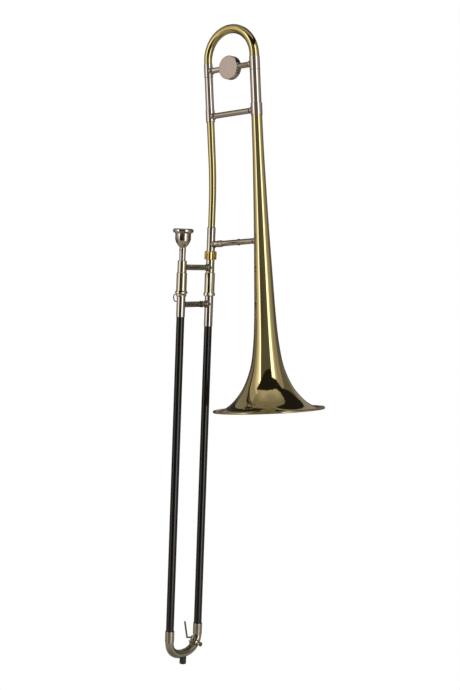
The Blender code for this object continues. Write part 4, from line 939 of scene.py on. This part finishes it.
# Each place of a drape is a turn, and the rises of its lower and upper edge there.
DRAPE = [(-74, 46, 49), (-50, 41, 58), (-20, 37, 65), (22, 37, 65), (25, 45, 65), (50, 45, 61),
         (84, 51, 63), (112, 43, 65), (150, 28, 70), (172, 34, 70)]
DRAPE_BEHIND = [(-167, 22, 64), (-155, 42, 60), (-138, 50, 55)]
DRAPE_LEVEL = 0.02
CEILING_START = 56.0               # where no drape hangs
CEILING_LEVEL = 0.29
CEILING_STEP = 0.01                # more in front
CEILING_GAIN = 0.32                # and more still beside the drape there
LOW_LEFT_LOSS = 0.55               # the share of light that the left walls lose near the floor
FLOOR_SHINE = 0.42
FLOOR_LOSS = 0.20                  # straight under the instrument
# Degrees between which one light passes into the next, counted down or up from level.
DOWN_LEFT_WALL = (-1, 4)
DOWN_TO_FLOOR = (14, 26)
DOWN_UNDER = (35, 75)
UP_TO_SCREENS = (6, 14)


def drape_edges(columns, turn):
    """The drape's lower and upper edge at a turn, or nothing beside it."""
    for (first, low, high), (second, next_low, next_high) in zip(columns, columns[1:]):
        if first <= turn <= second:
            share = (turn - first) / (second - first)
            return low + (next_low - low) * share, high + (next_high - high) * share
    return None


def ceiling_light(turn, rise):
    """The ceiling is brightest where it meets the drape in front."""
    front = ramp(turn, -95, -55) * ramp(-turn, -110, -60)
    return CEILING_LEVEL + front * (CEILING_STEP + CEILING_GAIN * fading(rise - 70, 8))


def room_light(turn, rise):
    """How bright the room is at a turn and a rise."""
    edges = drape_edges(DRAPE, turn) or drape_edges(DRAPE_BEHIND, turn)
    if edges and edges[0] < rise < edges[1]:
        return DRAPE_LEVEL
    if rise > (edges[1] if edges else CEILING_START):
        return ceiling_light(turn, rise)
    level = wall_light(turn)
    if turn < 0:
        level *= 1 - LOW_LEFT_LOSS * ramp(-rise, *DOWN_LEFT_WALL)
    floor_level = FLOOR_SHINE - FLOOR_LOSS * ramp(-rise, *DOWN_UNDER)
    level += (floor_level - level) * ramp(-rise, *DOWN_TO_FLOOR)
    for turn_from, turn_to, screen in SCREENS.values():
        if turn_from <= turn < turn_to:
            level += (screen - level) * ramp(rise, *UP_TO_SCREENS)
    return level


for rise in (0, 20, 50, 70, 85):
    print("in front at rise", rise, ":", round(room_light(0, rise), 2))

# %% [markdown]
# The upper part of the shell is a wide dome, so what a piece mirrors depends on which way it faces and hardly
# on where it is. The lower part is flat and lies just under the hand slide's end at full reach.

# %% Places on the shell
ROOM_RADIUS = 7.0
LOWEST = cad_box[0][2] - joints["hand_slide"]["range_m"][1]
ROOM_FOOT = LOWEST - 0.012
ROOM_CENTRE = Vector((0, 0, -0.25))  # turns and rises are counted from here, under the bell
SIGHT_TURN = math.radians(-142.8)  # the way from the object to the camera, counted from +X


def on_shell(turn, rise):
    """A place on the shell, from degrees to the right of the camera and degrees up."""
    around = SIGHT_TURN + math.radians(turn)
    up = math.radians(rise)
    way = Vector((math.cos(around) * math.cos(up), math.sin(around) * math.cos(up), math.sin(up)))
    reach = ROOM_RADIUS
    if rise < 0:
        reach = min(reach, (ROOM_FOOT - ROOM_CENTRE.z) / way.z)
    return ROOM_CENTRE + way * reach


print("straight ahead the shell is at", on_shell(0, 0))

# %% [markdown]
# The shell is a plain grid of corners, each with its own light. A Principled surface with no reflection of
# its own sends the colour out, and the shell neither casts shadows nor lights matt things. An image of a
# room would do the same, but here every window can be moved by one number. Windows give white light and
# everything dimmer a warmer one.

# %% Shell of light round the object
SHELL_STEP = 1.5                   # degrees between two corners
WINDOW_TINT = (1.0, 1.0, 0.99)
WALL_TINT = (1.05, 0.90, 0.76)


def glow():
    """A finish that shines with the colour kept on the corners."""
    material, pen, surface = finish("room_light")
    surface.inputs["Base Color"].default_value = (0, 0, 0, 1)
    surface.inputs["Specular IOR Level"].default_value = 0.0
    surface.inputs["Emission Strength"].default_value = 1.0
    connect(pen, surface, Emission_Color=pen.node("Attribute", {"attribute_name": "light"}))
    material.cycles.emission_sampling = "NONE"
    return material


def shell_of_light():
    """The grid of corners with the room's light on them, as a stage piece."""
    columns = round(360 / SHELL_STEP)
    rows = round(180 / SHELL_STEP)
    form = bmesh.new()
    light = form.verts.layers.float_color.new("light")

    def corner_at(turn, rise):
        corner = form.verts.new(on_shell(turn, rise))
        level = room_light(turn, rise)
        share = ramp(level, 1.0, 2.0)
        corner[light] = [level * (wall + (window - wall) * share)
                         for wall, window in zip(WALL_TINT, WINDOW_TINT)] + [1.0]
        return corner

    grid = [[corner_at(SHELL_STEP * column - 180, SHELL_STEP * row - 90) for column in range(columns)]
            for row in range(1, rows)]
    for lower, upper in zip(grid, grid[1:]):
        for column in range(columns):
            after = (column + 1) % columns
            form.faces.new((lower[column], lower[after], upper[after], upper[column]))
    form.faces.new(grid[0])
    form.faces.new(grid[-1])
    piece = hang("room_shell", form)
    piece.data.materials.append(glow())
    piece.visible_camera = False
    piece.visible_diffuse = False
    piece.visible_shadow = False
    return piece


print("corners on the shell:", len(shell_of_light().data.vertices))

# %% [markdown]
# The floor lies just under the hand slide at its full reach, so that no pose meets it. It is a pale disc
# whose rim fades into the white room.

# %% Pale floor
FLOOR_Z = LOWEST - 0.02
FLOOR_RADIUS = 1.25
FLOOR_SIDES = 96


def pale_floor():
    """A matt disc, clear at its rim and solid from half its radius inwards."""
    form = bmesh.new()
    bmesh.ops.create_circle(form, cap_ends=True, segments=FLOOR_SIDES, radius=FLOOR_RADIUS)
    piece = hang("floor", form)
    piece.location = (BELL_SIDE_SEAT.x, BELL_SIDE_SEAT.y / 2, FLOOR_Z)
    material, pen, surface = finish("floor_pale")
    surface.inputs["Base Color"].default_value = (0.88, 0.88, 0.88, 1)
    surface.inputs["Roughness"].default_value = 0.9
    away = pen.node("VectorMath", {"operation": "LENGTH"}, {0: place_of(pen)}, output="Value")
    inside = 2.0 * (1.0 - away * (1.0 / FLOOR_RADIUS))
    connect(pen, surface, Alpha=pen.node("Math", {"operation": "MINIMUM"}, {0: inside, 1: 1.0}))
    piece.data.materials.append(material)
    return piece


print(pale_floor().name, "at height", round(FLOOR_Z, 3))

# %% [markdown]
# The room behind everything is white to the camera, and to mirrors and glass where they look past the shell.
# It lights matt surfaces a little less, evenly from all round. One broad soft lamp from the upper left gives
# the floor its shadow.

# %% Room and lamp
MATT_LIGHT = 0.75
LAMP_PLACE = Vector((-1.6, -0.4, 2.4))


def white_room():
    """A white world that is a little dimmer to matt surfaces."""
    world = bpy.data.worlds.new("white_room")
    bpy.context.scene.world = world
    world.use_nodes = True
    pen = Wire(world.node_tree)
    seen = pen.node("LightPath", output="Is Camera Ray")
    glossy = pen.node("LightPath", output="Is Glossy Ray")
    through = pen.node("LightPath", output="Is Transmission Ray")
    shown = pen.node("Math", {"operation": "MINIMUM"}, {0: seen + glossy + through, 1: 1.0})
    background = pen.tree.nodes["Background"]
    background.inputs["Color"].default_value = (1, 1, 1, 1)
    strength = MATT_LIGHT + (1.0 - MATT_LIGHT) * shown
    pen.tree.links.new(strength.socket, background.inputs["Strength"])


def soft_lamp():
    """A broad disc lamp turned towards the bell's seat."""
    light = bpy.data.lights.new("soft_lamp", "AREA")
    light.shape = "DISK"
    light.size = 1.6
    light.energy = 30.0
    lamp = bpy.data.objects.new("soft_lamp", light)
    lamp.location = LAMP_PLACE
    lamp.rotation_euler = (-LAMP_PLACE).to_track_quat("-Z", "Y").to_euler()
    lamp.visible_glossy = False
    bpy.context.scene.collection.objects.link(lamp)


white_room()
soft_lamp()
bpy.context.scene.view_settings.view_transform = "Standard"
print("room and lamp are ready")

# %% [markdown]
# The camera stands where the photograph was taken from: level with the hand slide's upper end, over two and
# a half metres away, with a short telephoto lens. Its place and turn come from matching the tubes' edges.

# %% Camera
CAMERA_PLACE = Vector((-2.090177, -1.496621, 0.260773))
CAMERA_RIGHT = Vector((0.606159, -0.794525, 0.036073))
CAMERA_UP = Vector((0.035634, 0.072440, 0.996736))
FOCAL_PIXELS = 1431.5              # on a picture 690 pixels high
PICTURE_HEIGHT = 690
SENSOR = 36.0                      # millimetres along the picture's long side


def stand_camera():
    """Sets up the scene's camera and gives its lens in millimetres."""
    data = bpy.data.cameras.new("camera")
    data.sensor_width = SENSOR
    data.lens = FOCAL_PIXELS / PICTURE_HEIGHT * SENSOR
    data.clip_end = 50.0
    camera = bpy.data.objects.new("camera", data)
    back = CAMERA_RIGHT.cross(CAMERA_UP)
    turn = Matrix((CAMERA_RIGHT, CAMERA_UP, back)).transposed().to_4x4()
    camera.matrix_world = Matrix.Translation(CAMERA_PLACE) @ turn
    bpy.context.scene.collection.objects.link(camera)
    bpy.context.scene.camera = camera
    return data.lens


print("lens:", round(stand_camera(), 1), "mm")

# %% Finish
print("the scene is ready")
